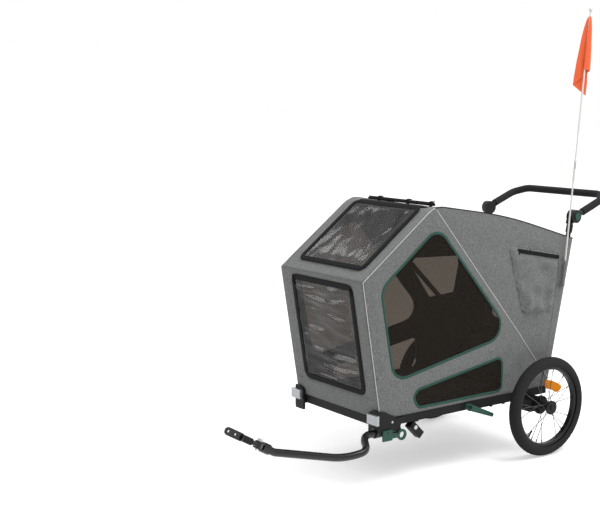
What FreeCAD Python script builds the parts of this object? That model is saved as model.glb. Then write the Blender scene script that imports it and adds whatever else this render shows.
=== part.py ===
import FreeCAD, Part
import math
import os
from FreeCAD import Placement, Rotation, Vector

# Dog bike trailer: a folding cabin on two spoked wheels, with a tow arm, a push handle and a safety flag.
# Millimetres. +X is the trailer's left, -Y is forward, +Z is up, and the tyres stand on Z = 0.
# Heights and lengths below are counted from the ground and from the wheel axle (behind is positive).

SIZES = {
    "wheel_radius": 200,
    "tyre_width": 47,
    "rim_inner_radius": 150,
    "rim_outer_radius": 161,
    "rim_width": 28,
    "wheel_gap": 78.5,
    "spoke_radius": 1.2,
    "spoke_pairs": 10,
    "hub_flange_radius": 24,
    "hub_half_width": 22,
    "hub_barrel_radius": 14,
    "lock_ring_radius": 37.5,
    "lock_ring_gap": 4,
    "lock_ring_width": 8,
    "lock_hole_circle": 28,
    "lock_hole_radius": 4.7,
    "lock_hole_count": 12,
    "hub_cap_radius": 28,
    "hub_cap_width": 8,
    "bearing_width": 8,
    "bearing_radius": 11,
    "axle_radius": 6,
    "running_gap": 0.05,
    "seat_gap": 0.3,
    "wheel_reflector_length": 90,
    "wheel_reflector_width": 40,
    "wheel_reflector_thickness": 6,
    "wheel_reflector_turn": 23,
    "button_radius": 9,
    "button_travel": 3,
    "button_height": 10,
    "cabin_width": 505,
    "fabric_thickness": 3,
    "rail_top": 258,
    "rail_height": 33,
    "rail_width": 20,
    "rail_wall": 2,
    "front_foot_y": -794,
    "front_top_y": -880,
    "front_top_z": 771,
    "ridge_y": -541,
    "ridge_z": 1026,
    "roof_swell_y": -168,
    "roof_swell_z": 967,
    "rear_top_y": 213,
    "rear_top_z": 853,
    "rear_foot_y": 85,
    "hoop_radius": 10,
    "hoop_bend_radius": 40,
    "hoop_wall": 1.5,
    "cross_share": 0.85,
    "front_hinge_rise": 45,
    "rear_hinge_rise": 142,
    "outer_lane_gap": 1.5,
    "lane_spacing": 24,
    "hinge_bolt_radius": 4,
    "hinge_plate_thickness": 3.2,
    "hinge_eye_radius": 9.5,
    "skirt_height": 72,
    "crossbar_depth": 20,
    "mid_crossbar_height": 20,
    "mid_crossbar_front_y": -540,
    "mid_crossbar_rear_y": -260,
    "floor_thickness": 4,
    "mat_thickness": 24,
    "mat_margin": 28,
    "mat_crown": 6,
    "axle_tube_radius": 12.5,
    "housing_width": 66,
    "housing_front": 60,
    "housing_back": 20,
    "housing_drop": 50,
    "lock_pin_radius": 4,
    "corner_plate_thickness": 10,
    "corner_plate_width": 47,
    "corner_plate_low": 198,
    "corner_plate_high": 286,
    "corner_arm_length": 120,
    "corner_arm_height": 22,
    "corner_arm_thickness": 5,
    "reflector_width": 57,
    "reflector_height": 37,
    "reflector_depth": 14,
    "tow_radius": 14,
    "tow_wall": 2.5,
    "receiver_wall": 5,
    "receiver_length": 115,
    "tow_insertion": 100,
    "tow_lever_thickness": 7,
    "tow_lever_pivot_y": -766,
    "lever_pivot_radius": 3,
    "finger_loop_radius": 21,
    "finger_hole_radius": 12,
    "finger_loop_y": -697,
    "finger_loop_z": 188,
    "hitch_tilt": 30,
    "pin_y": -1352,
    "pin_z": 272,
    "pin_x": 285,
    "pin_radius": 4,
    "clevis_width": 28,
    "clevis_gap": 16,
    "clevis_thickness": 5,
    "yoke_sleeve_length": 26,
    "yoke_sleeve_wall": 4,
    "yoke_reach": 24,
    "pin_knob_radius": 9,
    "pin_knob_height": 9,
    "tongue_radius": 12,
    "rubber_radius": 12,
    "rubber_start": 30,
    "rubber_length": 42,
    "plate_thickness": 5,
    "plate_height": 28,
    "eye_reach": 134,
    "eye_bore_radius": 5.25,
    "eye_boss_radius": 13,
    "eye_boss_width": 9,
    "socket_outer": 30,
    "socket_wall": 5,
    "socket_length": 70,
    "socket_tilt": 45,
    "socket_y": -615,
    "socket_pin_radius": 4,
    "socket_pin_drop": 30,
    "brake_pivot_y": -358,
    "brake_pivot_z": 238,
    "brake_boss_radius": 13,
    "brake_tip_y": -238,
    "brake_tip_z": 190,
    "brake_tip_radius": 8,
    "brake_lever_width": 16,
    "brake_pin_radius": 4,
    "brake_bracket_thickness": 2,
    "cable_radius": 2.5,
    "handle_pivot_y": 228,
    "handle_pivot_z": 940,
    "handle_tilt": 21,
    "handle_tube_radius": 10.5,
    "handle_hub_radius": 27,
    "handle_hub_width": 22,
    "handle_straight": 165,
    "handle_reach": 215,
    "handle_bar_half": 205,
    "handle_bend_radius": 45,
    "grip_radius": 15.5,
    "grip_half_length": 175,
    "post_top_z": 905,
    "knuckle_width": 11,
    "knuckle_socket_wall": 3.5,
    "knuckle_socket_height": 30,
    "handle_button_radius": 15,
    "handle_button_travel": 4,
    "handle_button_height": 14,
    "cover_thickness": 1.5,
    "front_cover_half_width": 185,
    "front_cover_low": 83,
    "front_cover_high": 504,
    "front_opening_margin": 26,
    "roof_cover_low": 45,
    "roof_cover_half_width": 185,
    "roof_cover_top_margin": 14,
    "rear_door_half_width": 190,
    "rear_door_top_margin": 40,
    "rear_door_low": 20,
    "hem_rod_radius": 2.5,
    "pocket_depth": 9,
    "zip_slider_length": 14,
    "zip_pull_length": 44,
    "zip_pull_width": 7,
    "pole_gap": 17.5,
    "pole_radius": 3.3,
    "pole_foot_y": 143,
    "pole_foot_z": 668,
    "pole_lean": 5.8,
    "pole_length": 1107,
    "pole_cap_radius": 5,
    "pole_cap_height": 14,
    "ferrule_radius": 4.6,
    "ferrule_height": 50,
    "ferrule_rise": 420,
    "sleeve_radius": 6.4,
    "sleeve_length": 100,
    "flag_length": 214,
    "flag_width": 44,
    "flag_thickness": 2.4,
    "flag_drop": 18,
}

doc = FreeCAD.newDocument("dog_bike_trailer")
sheet = doc.addObject("Spreadsheet::Sheet", "sizes")
for row, (alias, value) in enumerate(SIZES.items(), 1):
    sheet.set(f"A{row}", alias)
    sheet.set(f"B{row}", str(value))
    sheet.setAlias(f"B{row}", alias)
doc.recompute()


def mm(alias):
    return sheet.get(alias)


# Helpers for points in the side view, written (y, z)

def point(pair, x=0.0):
    return Vector(x, pair[0], pair[1])


def along(start, end, distance):
    """The point this far from start on the way to end."""
    length = math.dist(start, end)
    share = distance / length
    return (start[0] + (end[0] - start[0]) * share, start[1] + (end[1] - start[1]) * share)


def slope(start, end):
    """Angle of the way from start to end, in degrees from +Y towards +Z."""
    return math.degrees(math.atan2(end[1] - start[1], end[0] - start[0]))


def turned(pair, degrees):
    c, s = math.cos(math.radians(degrees)), math.sin(math.radians(degrees))
    return (pair[0] * c - pair[1] * s, pair[0] * s + pair[1] * c)


def inside(start, end, distance, depth):
    """A point on the way from start to end, moved inward from the panel by depth."""
    y, z = along(start, end, distance)
    angle = math.radians(slope(start, end))
    return (y + depth * math.sin(angle), z - depth * math.cos(angle))


def meet(first, second, depth):
    """Where two neighbouring panels, each moved inward by depth, cross."""
    p, q = inside(*first, 0, depth), inside(*first, 1, depth)
    r, s = inside(*second, 0, depth), inside(*second, 1, depth)
    d1, d2 = (q[0] - p[0], q[1] - p[1]), (s[0] - r[0], s[1] - r[1])
    share = ((r[0] - p[0]) * d2[1] - (r[1] - p[1]) * d2[0]) / (d1[0] * d2[1] - d1[1] * d2[0])
    return (p[0] + d1[0] * share, p[1] + d1[1] * share)


# The cabin's side view, from the front foot over the ridge to the rear foot
FRONT_FOOT = (mm("front_foot_y"), mm("rail_top"))
FRONT_TOP = (mm("front_top_y"), mm("front_top_z"))
RIDGE = (mm("ridge_y"), mm("ridge_z"))
SWELL = (mm("roof_swell_y"), mm("roof_swell_z"))
REAR_TOP = (mm("rear_top_y"), mm("rear_top_z"))
REAR_FOOT = (mm("rear_foot_y"), mm("rail_top"))
FRONT = (FRONT_FOOT, FRONT_TOP)
ROOF = (FRONT_TOP, RIDGE)
BACK_ROOF = (RIDGE, SWELL)
REAR = (REAR_TOP, REAR_FOOT)
FRONT_LENGTH = math.dist(*FRONT)
ROOF_LENGTH = math.dist(*ROOF)
REAR_LENGTH = math.dist(*REAR)

HALF = mm("cabin_width") / 2
WHEEL_X = HALF + mm("wheel_gap")
POLE_X = HALF + mm("pole_gap")
INNER = HALF - mm("fabric_thickness")
GAP = mm("seat_gap")
RUN = mm("running_gap")
HOOP_DEPTH = mm("hoop_radius") + mm("fabric_thickness") + 1.3 * GAP
OUTER_LANE = INNER - mm("outer_lane_gap") - mm("hoop_radius")
INNER_LANE = OUTER_LANE - mm("lane_spacing")
RAIL_LOW = mm("rail_top") - mm("rail_height")
RAIL_OUT = INNER + 0.5
RAIL_IN = RAIL_OUT - mm("rail_width")
FLOOR_TOP = mm("rail_top") + mm("floor_thickness")
FRONT_PIVOT = inside(*FRONT, mm("front_hinge_rise"), HOOP_DEPTH)
REAR_PIVOT = inside(*REAR, REAR_LENGTH - mm("rear_hinge_rise"), HOOP_DEPTH)
FRONT_CORNER = meet(FRONT, ROOF, HOOP_DEPTH)
RIDGE_CORNER = meet(ROOF, BACK_ROOF, HOOP_DEPTH)
REAR_CROSS = inside(*REAR, mm("rear_door_top_margin") / 2, HOOP_DEPTH)
POST_SHARE = (mm("post_top_z") - REAR_PIVOT[1]) / (REAR_CROSS[1] - REAR_PIVOT[1])
POST_TOP = along(REAR_PIVOT, REAR_CROSS, POST_SHARE * math.dist(REAR_PIVOT, REAR_CROSS))
HANDLE_PIVOT = (mm("handle_pivot_y"), mm("handle_pivot_z"))
HANDLE_X = OUTER_LANE + mm("knuckle_width")
AXLE = (0.0, mm("wheel_radius"))
HEM_RISE = 1.1 * mm("hem_rod_radius")
TOW_Z = RAIL_LOW - GAP - mm("tow_radius") - mm("receiver_wall")

# The origin lies under the middle of the trailer, halfway between the hitch eye and the grip
EYE = turned((-mm("eye_reach"), 0), -mm("hitch_tilt"))
EYE = (mm("pin_y") + EYE[0], mm("pin_z") + EYE[1])
GRIP = turned((mm("handle_reach"), 0), mm("handle_tilt"))
GRIP = (HANDLE_PIVOT[0] + GRIP[0], HANDLE_PIVOT[1] + GRIP[1])
ORIGIN = Vector(0, (EYE[0] - mm("plate_height") / 2 + GRIP[0] + mm("grip_radius")) / 2, 0)
PIECES = []


# Building blocks

def finish(feature, label, placement=Placement()):
    """Gives a sub-part its label and its place, and puts it on the list to export."""
    feature.Label = label
    feature.Placement = Placement(placement.Base - ORIGIN, placement.Rotation)
    PIECES.append(feature)
    return feature


def solid(label, shape, place=Placement()):
    """A sub-part whose shape is worked out in code, in the axle's frame or about its own place."""
    feature = doc.addObject("Part::Feature", label)
    feature.Shape = shape
    return finish(feature, label, place.multiply(shape.Placement))


def outline(points, radius=0.0):
    """Edges of a closed outline in a plane, with its corners rounded."""
    corners = [Vector(*p, 0) for p in points]
    edges, ends = [], []
    for i, corner in enumerate(corners):
        before = (corners[i - 1] - corner).normalize()
        after = (corners[(i + 1) % len(corners)] - corner).normalize()
        half = before.getAngle(after) / 2
        reach = radius / math.tan(half)
        first, last = corner + before * reach, corner + after * reach
        middle = (before + after).normalize()
        ends.append((first, last))
        if radius > 0:
            top = corner + middle * (radius / math.sin(half) - radius)
            edges.append(Part.Arc(first, top, last))
    for i, (first, last) in enumerate(ends):
        edges.append(Part.LineSegment(last, ends[(i + 1) % len(ends)][0]))
    return edges


def sketch_in(body, plane, name):
    sketch = body.newObject("Sketcher::SketchObject", name)
    support = next(f for f in body.Origin.OriginFeatures if f.Role == plane)
    sketch.AttachmentSupport = (support, [""])
    sketch.MapMode = "FlatFace"
    return sketch


def plate(name, plane, loops, thickness, middle=False, back=False):
    """A flat piece: closed loops of edges in one sketch, padded by a size of the sheet."""
    body = doc.addObject("PartDesign::Body", name)
    sketch = sketch_in(body, plane, name + "_outline")
    for loop in loops:
        sketch.addGeometry(loop, False)
    pad = body.newObject("PartDesign::Pad", name + "_pad")
    pad.Profile = sketch
    pad.setExpression("Length", thickness)
    pad.Midplane = middle
    pad.Reversed = back
    doc.recompute()
    return body


def turning(name, profile):
    """A turned piece about the X axis: profile points are (x, radius)."""
    body = doc.addObject("PartDesign::Body", name)
    sketch = sketch_in(body, "XZ_Plane", name + "_profile")
    sketch.addGeometry(outline(profile), False)
    revolution = body.newObject("PartDesign::Revolution", name + "_turned")
    revolution.Profile = sketch
    revolution.ReferenceAxis = (sketch, ["H_Axis"])
    revolution.Angle = 360
    doc.recompute()
    return body


def rod(start, end, radius):
    return Part.makeCylinder(radius, (end - start).Length, start, end - start)


def round_hole(y, z, radius):
    return [Part.Circle(Vector(y, z, 0), Vector(0, 0, 1), radius)]


def block(low, high):
    return Part.makeBox(*(high - low), low)


def bent_path(points, bend):
    """A wire of straight runs joined by tangent arcs."""
    edges, start = [], points[0]
    for before, corner, after in zip(points, points[1:], points[2:]):
        back, ahead = (before - corner).normalize(), (after - corner).normalize()
        half = back.getAngle(ahead) / 2
        first, last = corner + back * (bend / math.tan(half)), corner + ahead * (bend / math.tan(half))
        top = corner + (back + ahead).normalize() * (bend / math.sin(half) - bend)
        edges += [Part.makeLine(start, first), Part.Arc(first, top, last).toShape()]
        start = last
    return Part.Wire(edges + [Part.makeLine(start, points[-1])])


def bent_tube(points, bend, radius, wall=0.0):
    """A tube along a bent path, or a bar where there is no wall."""
    path = bent_path(points, bend)
    ahead = points[1] - points[0]

    def swept(r):
        ring = Part.Wire(Part.makeCircle(r, points[0], ahead))
        return path.makePipeShell([ring], True, True)

    return swept(radius).cut(swept(radius - wall)) if wall else swept(radius)


def mirrored(shape):
    return shape.mirror(Vector(), Vector(1, 0, 0))


def both_sides(shape):
    return Part.makeCompound([shape, mirrored(shape)])


def group(label, members):
    """Several separate pieces of one kind, under one label."""
    doc.recompute()
    compound = doc.addObject("Part::Compound", label)
    compound.Links = members
    return finish(compound, label)


def pin(name, radius, length, start, direction):
    """A plain round bar with its sizes bound to the sheet."""
    bar = doc.addObject("Part::Cylinder", name)
    bar.setExpression("Radius", radius)
    bar.setExpression("Height", length)
    bar.Placement = Placement(start, Rotation(Vector(0, 0, 1), direction))
    return bar


def rectangle(low_x, low_y, high_x, high_y):
    return [(low_x, low_y), (high_x, low_y), (high_x, high_y), (low_x, high_y)]


# Wheels

def tyre(side):
    ring = doc.addObject("Part::Torus", f"tyre_ring_{side}")
    ring.setExpression("Radius1", "sizes.wheel_radius - sizes.tyre_width / 2")
    ring.setExpression("Radius2", "sizes.tyre_width / 2")
    seat = doc.addObject("Part::Cylinder", f"tyre_seat_{side}")
    seat.setExpression("Radius", "sizes.rim_outer_radius")
    seat.setExpression("Height", "sizes.tyre_width * 2")
    seat.setExpression("Placement.Base.z", "-sizes.tyre_width")
    cut = doc.addObject("Part::Cut", f"tyre_{side}")
    cut.Base = ring
    cut.Tool = seat
    return cut


def rim(side):
    half, low, high = mm("rim_width") / 2, mm("rim_inner_radius"), mm("rim_outer_radius") - RUN
    shoulder, flat = (low + high) / 2, 0.65 * half
    profile = [(-half, high), (half, high), (half, shoulder), (flat, low), (-flat, low), (-half, shoulder)]
    return turning(f"rim_{side}", profile)


def hub(side):
    half, bore = mm("hub_half_width"), mm("bearing_radius")
    flange, barrel = mm("hub_flange_radius"), mm("hub_barrel_radius")
    flange_width = 3
    neck = -half - mm("lock_ring_gap")
    inner = neck - mm("lock_ring_width")
    cap = half + mm("hub_cap_width")
    recess = mm("button_radius") + GAP
    profile = [
        (inner, bore), (inner, mm("lock_ring_radius")), (neck, mm("lock_ring_radius")), (neck, barrel),
        (-half, barrel), (-half, flange), (flange_width - half, flange), (flange_width - half, barrel),
        (half - flange_width, barrel), (half - flange_width, flange), (half, flange),
        (half, mm("hub_cap_radius")), (cap, mm("hub_cap_radius")), (cap, recess), (half, recess),
        (half, bore),
    ]
    shell = turning(f"hub_shell_{side}", profile)
    sketch = sketch_in(shell, "YZ_Plane", f"lock_hole_{side}")
    sketch.AttachmentOffset = Placement(Vector(0, 0, inner), Rotation())
    sketch.addGeometry(round_hole(mm("lock_hole_circle"), 0, mm("lock_hole_radius")), False)
    hole = shell.newObject("PartDesign::Pocket", f"lock_hole_cut_{side}")
    hole.Profile = sketch
    hole.setExpression("Length", "sizes.lock_ring_width")
    hole.Reversed = True
    doc.recompute()
    ring = shell.newObject("PartDesign::PolarPattern", f"lock_holes_{side}")
    ring.Originals = [hole]
    ring.Axis = (sketch, ["N_Axis"])
    ring.Angle = 360
    ring.Occurrences = int(mm("lock_hole_count"))
    shell.Tip = ring
    bearings = []
    for name, x in (("inner", -half), ("outer", half - mm("bearing_width"))):
        ends = (x, x + mm("bearing_width"))
        low, high = mm("axle_radius") + RUN, bore - RUN
        profile = [(ends[0], low), (ends[1], low), (ends[1], high), (ends[0], high)]
        bearings.append(turning(f"bearing_{name}_{side}", profile))
    doc.recompute()
    parts = doc.addObject("Part::Compound", f"hub_{side}")
    parts.Links = [shell] + bearings
    return parts


def spokes():
    """Crossed spokes from the hub's flanges to the rim, neighbours passing side by side."""
    bars, count = [], int(mm("spoke_pairs"))
    cross, beside = 30, 1.4 * mm("spoke_radius")
    for i in range(2 * count):
        side, lean = 1 - 2 * (i % 2), 1 - 2 * (i // 2 % 2)
        start, end = 180 / count * i, 180 / count * i + cross * lean
        y1, z1 = turned((mm("hub_flange_radius") + GAP, 0), start)
        y2, z2 = turned((mm("rim_inner_radius") - GAP, 0), end)
        shift = beside * lean
        x1, x2 = side * (mm("hub_half_width") - 3 * beside) + shift, side * 3 * beside + shift
        bars.append(rod(Vector(x1, y1, z1), Vector(x2, y2, z2), mm("spoke_radius")))
    return Part.makeCompound(bars)


def wheel_reflector():
    """An amber plate clipped between the spokes, just inside the rim."""
    long, wide, thick = (mm("wheel_reflector_" + word) for word in ("length", "width", "thickness"))
    top = mm("rim_inner_radius") - 18
    plate_shape = Part.makeBox(thick, long, wide, Vector(-thick / 2, -long / 2, top - wide))
    edges = [e for e in plate_shape.Edges if abs(e.tangentAt(e.FirstParameter).x) > 0.9]
    plate_shape = plate_shape.makeFillet(0.3 * wide, edges)
    plate_shape.rotate(Vector(), Vector(1, 0, 0), -mm("wheel_reflector_turn"))
    return plate_shape


def wheel_button(side):
    start = mm("hub_half_width") + mm("button_travel")
    radius, chamfer = mm("button_radius"), 1.5
    end = start + mm("button_height")
    profile = [(start, 0), (end, 0), (end, radius - chamfer), (end - chamfer, radius), (start, radius)]
    return turning(f"wheel_button_{side}", profile)


def wheels():
    for side, sign in (("left", 1), ("right", -1)):
        turn = Rotation(Vector(0, 0, 1), 0 if sign > 0 else 180)
        centre = Vector(sign * WHEEL_X, *AXLE)
        across = Rotation(Vector(0, 1, 0), 90)
        finish(tyre(side), f"tyre_{side}", Placement(centre, across))
        finish(rim(side), f"rim_{side}", Placement(centre, turn))
        finish(hub(side), f"hub_{side}", Placement(centre, turn))
        finish(wheel_button(side), f"wheel_button_{side}", Placement(centre, turn))
        for label, shape in (("spokes", spokes()), ("wheel_reflector", wheel_reflector())):
            solid(f"{label}_{side}", shape if sign > 0 else mirrored(shape), Placement(centre, Rotation()))


# Floor frame and axle

def box_tube(name, length, width, height, plane):
    """A rectangular tube about the middle of its section, padded out of the sketch plane."""
    w, h, wall = width / 2, height / 2, mm("rail_wall")
    loops = [outline(rectangle(-w, -h, w, h)), outline(rectangle(wall - w, wall - h, w - wall, h - wall))]
    return plate(name, plane, loops, length)


def floor_frame():
    rail_y = mm("rear_foot_y")
    length = "sizes.rear_foot_y - sizes.front_foot_y + sizes.corner_plate_thickness / 2"
    middle = Vector((RAIL_IN + RAIL_OUT) / 2, rail_y, (mm("rail_top") + RAIL_LOW) / 2)
    rails = []
    for side, sign in (("left", 1), ("right", -1)):
        rail = box_tube(f"side_rail_{side}", length, mm("rail_width"), mm("rail_height"), "XZ_Plane")
        rail.Placement = Placement(Vector(sign * middle.x, middle.y, middle.z), Rotation())
        rails.append(rail)
    group("side_rails", rails)
    depth, tall, low = mm("crossbar_depth"), mm("rail_height"), mm("mid_crossbar_height")
    places = (
        ("front", mm("front_foot_y"), tall), ("mid_front", mm("mid_crossbar_front_y"), low),
        ("mid_rear", mm("mid_crossbar_rear_y"), low), ("rear", mm("rear_foot_y") - depth, tall),
    )
    bars = []
    across = f"{2 * (RAIL_IN - RUN)}"
    for name, y, height in places:
        bar = box_tube(f"crossbar_{name}", across, depth, height, "YZ_Plane")
        bar.Placement.Base = Vector(RUN - RAIL_IN, y + depth / 2, mm("rail_top") - height / 2)
        bars.append(bar)
    group("floor_crossbars", bars)
    wide, inset = INNER - GAP - RUN, mm("fabric_thickness") + 2 * GAP
    shape = rectangle(-wide, mm("front_foot_y") + inset, wide, mm("rear_foot_y") - inset)
    floor = plate("floor_board", "XY_Plane", [outline(shape)], "sizes.floor_thickness")
    finish(floor, "floor_panel", Placement(Vector(0, 0, mm("rail_top")), Rotation()))


def floor_mat():
    """A quilted mat: sides drawn in between its corners, a crown, and three sewn channels across."""
    half, crown = INNER_LANE - mm("mat_margin"), mm("mat_crown")
    low, high = mm("front_foot_y") + mm("mat_margin"), mm("rear_foot_y") - mm("mat_margin")
    base, edge = FLOOR_TOP + GAP, FLOOR_TOP + mm("mat_thickness") - crown
    quilts, drawn = 4, crown
    step = (high - low) / quilts

    def section(y, top, side):
        wall = Vector(side, y, edge - crown)
        foot = Vector(side - drawn, y, base)
        points = [Vector(-foot.x, y, base), foot, wall]
        lines = [Part.makeLine(a, b) for a, b in zip(points, points[1:])]
        arc = Part.Arc(wall, Vector(0, y, top), Vector(-wall.x, y, wall.z)).toShape()
        closing = Part.makeLine(Vector(-wall.x, y, wall.z), points[0])
        return Part.Wire(lines + [arc, closing])

    sections = []
    for i in range(quilts):
        start = low + i * step
        sections.append(section(start, edge, half - drawn))
        sections.append(section(start + step / 2, edge + crown, half))
    sections.append(section(high, edge, half - drawn))
    solid("floor_mat", Part.makeLoft(sections, True, True))


def axle_parts():
    inner = RAIL_IN - 4
    outer = inner + mm("housing_width")
    tube_length = f"{2 * (inner - RUN)}"
    tube = pin("axle_tube", "sizes.axle_tube_radius", tube_length, point(AXLE, RUN - inner), Vector(1, 0, 0))
    finish(tube, "axle_tube", tube.Placement)
    low = Vector(inner, -mm("housing_front"), RAIL_LOW - mm("housing_drop"))
    housing = block(low, Vector(outer, mm("housing_back"), RAIL_LOW))
    low_edges = [e for e in housing.Edges if e.BoundBox.ZMax < RAIL_LOW]
    edges = [e for e in low_edges if abs(e.tangentAt(e.FirstParameter).x) > 0.9]
    housing = housing.makeFillet(mm("housing_drop") / 4, edges)
    tip = WHEEL_X + mm("hub_half_width") - 1
    pocket = inner + mm("housing_width") / 5
    bore = rod(point(AXLE, pocket), point(AXLE, outer + 1), mm("axle_radius") + RUN / 2)
    pin_y = -mm("lock_hole_circle")
    pin_line = (pin_y, AXLE[1])
    pin_bore = rod(point(pin_line, pocket), point(pin_line, outer + 1), mm("lock_pin_radius") + RUN)
    solid("axle_housings", both_sides(housing.cut(bore.fuse(pin_bore))))
    solid("stub_axles", both_sides(rod(point(AXLE, pocket), point(AXLE, tip), mm("axle_radius"))))
    ring_face = WHEEL_X - mm("hub_half_width") - mm("lock_ring_gap") - mm("lock_ring_width")
    rest_tip = ring_face - 2
    start = rest_tip - mm("housing_width") / 2
    lock = rod(point(pin_line, start), point(pin_line, rest_tip), mm("lock_pin_radius"))
    solid("lock_pin_left", lock)
    solid("lock_pin_right", mirrored(lock))


def corner_pieces():
    """Moulded corners on the front ends of the rails, each with a reflector."""
    front = mm("front_foot_y") - mm("corner_plate_thickness") / 2 - 3 * GAP
    thick, low, high = mm("corner_plate_thickness"), mm("corner_plate_low"), mm("corner_plate_high")
    outer = RAIL_OUT + mm("corner_arm_thickness") + GAP
    bow = 0.3 * (high - mm("rail_top"))
    start, end = Vector(RAIL_OUT - mm("corner_plate_width"), front, high - bow), Vector(outer, front, high)
    middle = (start + end) * 0.5 + Vector(0, 0, bow)
    feet = [Vector(outer, front, low), Vector(start.x, front, low)]
    edges = [Part.Arc(start, middle, end).toShape()]
    edges += [Part.makeLine(a, b) for a, b in ((end, feet[0]), (feet[0], feet[1]), (feet[1], start))]
    face = Part.Face(Part.Wire(edges))
    body = face.extrude(Vector(0, -thick, 0))
    arm_z = (mm("rail_top") + RAIL_LOW) / 2
    arm = block(
        Vector(RAIL_OUT + GAP, front - RUN, arm_z - mm("corner_arm_height") / 2),
        Vector(outer, front + mm("corner_arm_length"), arm_z + mm("corner_arm_height") / 2),
    )
    corner = body.fuse(arm).removeSplitter()
    ends = (Vector(OUTER_LANE, front + thick, TOW_Z), Vector(OUTER_LANE, front - 2 * thick, TOW_Z))
    hole = rod(*ends, mm("tow_radius") + mm("receiver_wall") + GAP)
    solid("corner_brackets", Part.makeCompound([corner.cut(hole), mirrored(corner)]))


def front_reflectors():
    front = mm("front_foot_y") - 1.5 * mm("corner_plate_thickness") - 4 * GAP
    wide, tall, deep = mm("reflector_width"), mm("reflector_height"), mm("reflector_depth")
    low = Vector(OUTER_LANE - wide / 2, front - deep, mm("rail_top") - tall / 2)
    lens = block(low, low + Vector(wide, deep, tall))
    edges = [e for e in lens.Edges if e.BoundBox.YMax < front - deep / 2]
    solid("front_reflectors", both_sides(lens.makeFillet(deep / 4, edges)))


# Tow arm, its release and the hitch

def tow_receiver():
    start = mm("front_foot_y") - 1.8 * mm("corner_plate_thickness")
    ends = (Vector(OUTER_LANE, start, TOW_Z), Vector(OUTER_LANE, start + mm("receiver_length"), TOW_Z))
    outer = mm("tow_radius") + mm("receiver_wall")
    tube = rod(*ends, outer).cut(rod(*ends, mm("tow_radius") + RUN))
    pivot = (mm("tow_lever_pivot_y"), TOW_Z)
    foot = OUTER_LANE + outer - mm("receiver_wall") / 2
    peg = rod(point(pivot, foot), point(pivot, OUTER_LANE + outer + 1.3 * mm("tow_lever_thickness")),
              mm("lever_pivot_radius"))
    solid("tow_receiver", tube.fuse(peg))


def tow_lever():
    """The green release: a block on its pivot, a bar, and a loop for one finger."""
    pivot = (mm("tow_lever_pivot_y"), TOW_Z)
    loop = (mm("finger_loop_y"), mm("finger_loop_z"))
    half, bar = 22, 7
    shape = Part.makeBox(1, 2 * half, 1.8 * half, Vector(0, pivot[0] - half, pivot[1] - 1.4 * half))
    start = Vector(0, pivot[0], loop[1] - bar)
    shape = shape.fuse(Part.makeBox(1, loop[0] - pivot[0], 2 * bar, start))
    shape = shape.fuse(Part.makeCylinder(mm("finger_loop_radius"), 1, point(loop), Vector(1, 0, 0)))
    shape = shape.cut(Part.makeCylinder(mm("finger_hole_radius"), 1, point(loop), Vector(1, 0, 0)))
    shape = shape.cut(Part.makeCylinder(mm("lever_pivot_radius") + RUN, 1, point(pivot), Vector(1, 0, 0)))
    flat_faces = [f for f in shape.removeSplitter().Faces if abs(f.normalAt(0, 0).x) > 0.9]
    face = next(f for f in flat_faces if f.BoundBox.XMax < 0.5)
    lever = face.extrude(Vector(mm("tow_lever_thickness"), 0, 0))
    lever.translate(Vector(OUTER_LANE + mm("tow_radius") + mm("receiver_wall") + GAP, 0, 0))
    solid("tow_lever", lever)


PIN = Vector(mm("pin_x"), mm("pin_y"), mm("pin_z"))
HITCH_TURN = Rotation(Vector(1, 0, 0), -mm("hitch_tilt"))


def hitch_solid(label, shape):
    """A piece of the hitch: modelled with the pin along Z and the bicycle ahead, then tilted."""
    shape.Placement = Placement(PIN, HITCH_TURN)
    return solid(label, shape)


def tow_arm():
    end = PIN + HITCH_TURN.multVec(Vector(0, mm("yoke_reach"), 0))
    straight, swing, bend = 53, 15, 46
    run_up = PIN + HITCH_TURN.multVec(Vector(0, mm("yoke_reach") + straight, 0))
    mouth = mm("front_foot_y") - 1.8 * mm("corner_plate_thickness")
    route = [Vector(OUTER_LANE, mouth + mm("tow_insertion"), TOW_Z), Vector(OUTER_LANE, mouth - 50, TOW_Z)]
    for ahead, down in ((80, 36), (178, 46)):
        route.append(Vector(mm("pin_x") + swing, mouth - ahead, TOW_Z - down))
    solid("tow_arm", bent_tube(route + [run_up, end], bend, mm("tow_radius"), mm("tow_wall")))


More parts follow.
